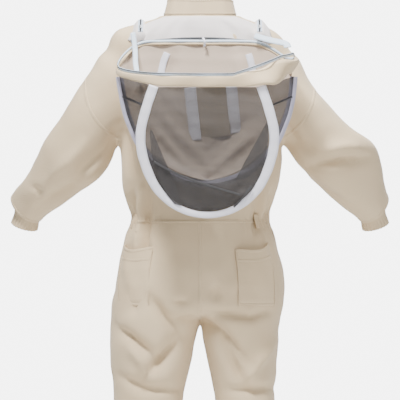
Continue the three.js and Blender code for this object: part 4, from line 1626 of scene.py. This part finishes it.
def hood():
    """The hood and all that is sewn to it, and the loose tapes by the nape."""
    rim()
    front = hoop_tape("front_hoop", FRONT_HOOP, FRONT_TAPE_WIDTH, "white_tape")
    rear = hoop_tape("rear_hoop", REAR_HOOP, REAR_TAPE_SHOWN, "lilac_tape")
    side_grid, face_grid = hood_nets(front, rear)
    back_grid = hood_back(rear)
    for name, width, line in HOOD_STRIPS:
        strip_on(f"hood_inner_tape_{name}", back_grid, line, width, "white_tape")
    strip_on("hood_inner_patch", back_grid, HOOD_PATCH, 0.084, "hood_patch", 0.0008)
    for name, width, look, body, line in LOOSE_TAPES:
        path = curve_through(line, 40)
        finished(ribbon_mesh(name, path, alike((0, -0.8, 0.6), path), width, 0.0016), look, body=body)
    for i, (outer, inner) in enumerate(NET_WEDGES):
        a, b = curve_through(outer, 24), curve_through(inner, 24)
        wedge = flat_uv(grid_piece(f"hood_net_fold_{i}", [a + (b - a) * t / 8 for t in range(9)]))
        finished(wedge, "netting", body="hood")
        declare_cloth(wedge, CUT["net_fold"])
    for name, line in NET_SEAMS:
        strip_on(f"hood_net_seam_{name}", face_grid, line, 0.006, "net_binding", lift=0.006)
    for i, column in enumerate(SIDE_SEAM_COLUMNS):
        line = side_grid[:, column]
        piece = ribbon_mesh(f"hood_side_net_seam_{i}", line, alike((0, -1, 0), line), 0.006, 0.0020)
        finished(piece, "net_binding", body="hood")
    for rod in ("front_hoop_rod", "rear_hoop_rod"):
        for slot in bpy.data.objects[rod].material_slots:
            slot.material = MATERIALS["spring_steel"]


# ---- the stage -------------------------------------------------------------------------------
# The world's strength: as a light on the suit, and as the pale backdrop that the camera sees.
AMBIENT = 0.27
BACKGROUND = 6.0
FLOOR_GAP = 0.004
FLOOR_HALF = 6
LIGHTS_AIM = (0, 0, -0.5)
# Lights: name, place, size, power.
LIGHTS = [
    ("key", (-0.7, -1.7, 2.6), 0.6, 300), ("top", (0.5, -0.2, 2.2), 1.0, 90),
    ("fill", (1.8, -3.2, 0.3), 1.4, 50), ("front", (1.2, 3.0, 0.8), 2.0, 80),
]
# The camera looks level along +Y; SHOWN metres fill the frame at the plane of the back.
CAMERA_DISTANCE = 14.0
CAMERA_HEIGHT = -0.509
SHOWN = 1.10
SHOWN_AT_Y = -0.10
SENSOR = 36


def stage():
    """Pale floor, plain world, four soft lights and the camera."""
    floor = new_object("floor", [(x * FLOOR_HALF, y * FLOOR_HALF, 0) for x, y in SQUARE], [(0, 1, 2, 3)])
    floor.location.z = cad_low.z - FLOOR_GAP
    n = Nodes("pale_floor", Roughness=0.9)
    n.shader.inputs["Base Color"].default_value = (0.86, 0.86, 0.86, 1)
    floor.data.materials.append(n.material)
    world = bpy.data.worlds.new("studio")
    world.use_nodes = True
    tree = world.node_tree
    seen = tree.nodes.new("ShaderNodeLightPath")
    strength = tree.nodes.new("ShaderNodeMapRange")
    strength.inputs["To Min"].default_value = AMBIENT
    strength.inputs["To Max"].default_value = BACKGROUND
    tree.links.new(seen.outputs["Is Camera Ray"], strength.inputs["Value"])
    tree.links.new(strength.outputs["Result"], tree.nodes["Background"].inputs["Strength"])
    tree.nodes["Background"].inputs["Color"].default_value = (1, 1, 1, 1)
    bpy.context.scene.world = world
    for name, at, size, power in LIGHTS:
        light = bpy.data.lights.new(name, "AREA")
        light.size, light.energy = size, power
        lamp = bpy.data.objects.new(name, light)
        lamp.location = at
        lamp.rotation_euler = (Vector(LIGHTS_AIM) - Vector(at)).to_track_quat("-Z", "Y").to_euler()
        bpy.context.scene.collection.objects.link(lamp)
    lens = bpy.data.cameras.new("camera")
    lens.sensor_width = SENSOR
    lens.lens = SENSOR * CAMERA_DISTANCE / SHOWN
    camera = bpy.data.objects.new("camera", lens)
    camera.location = (0, SHOWN_AT_Y - CAMERA_DISTANCE, CAMERA_HEIGHT)
    camera.rotation_euler = (math.radians(90), 0, 0)
    bpy.context.scene.collection.objects.link(camera)
    bpy.context.scene.camera = camera


# ---- build -----------------------------------------------------------------------------------
stage()
cloth_panels, cloth_seams = garment_panels()
dress_panels(cloth_panels)
sew(cloth_seams)
collar()
nape_flap()
for side in ("left", "right"):
    cuff(side)
    waist_elastic(side)
    hip_pocket(side)
    neck_zip(side)
front_zip()
hood()
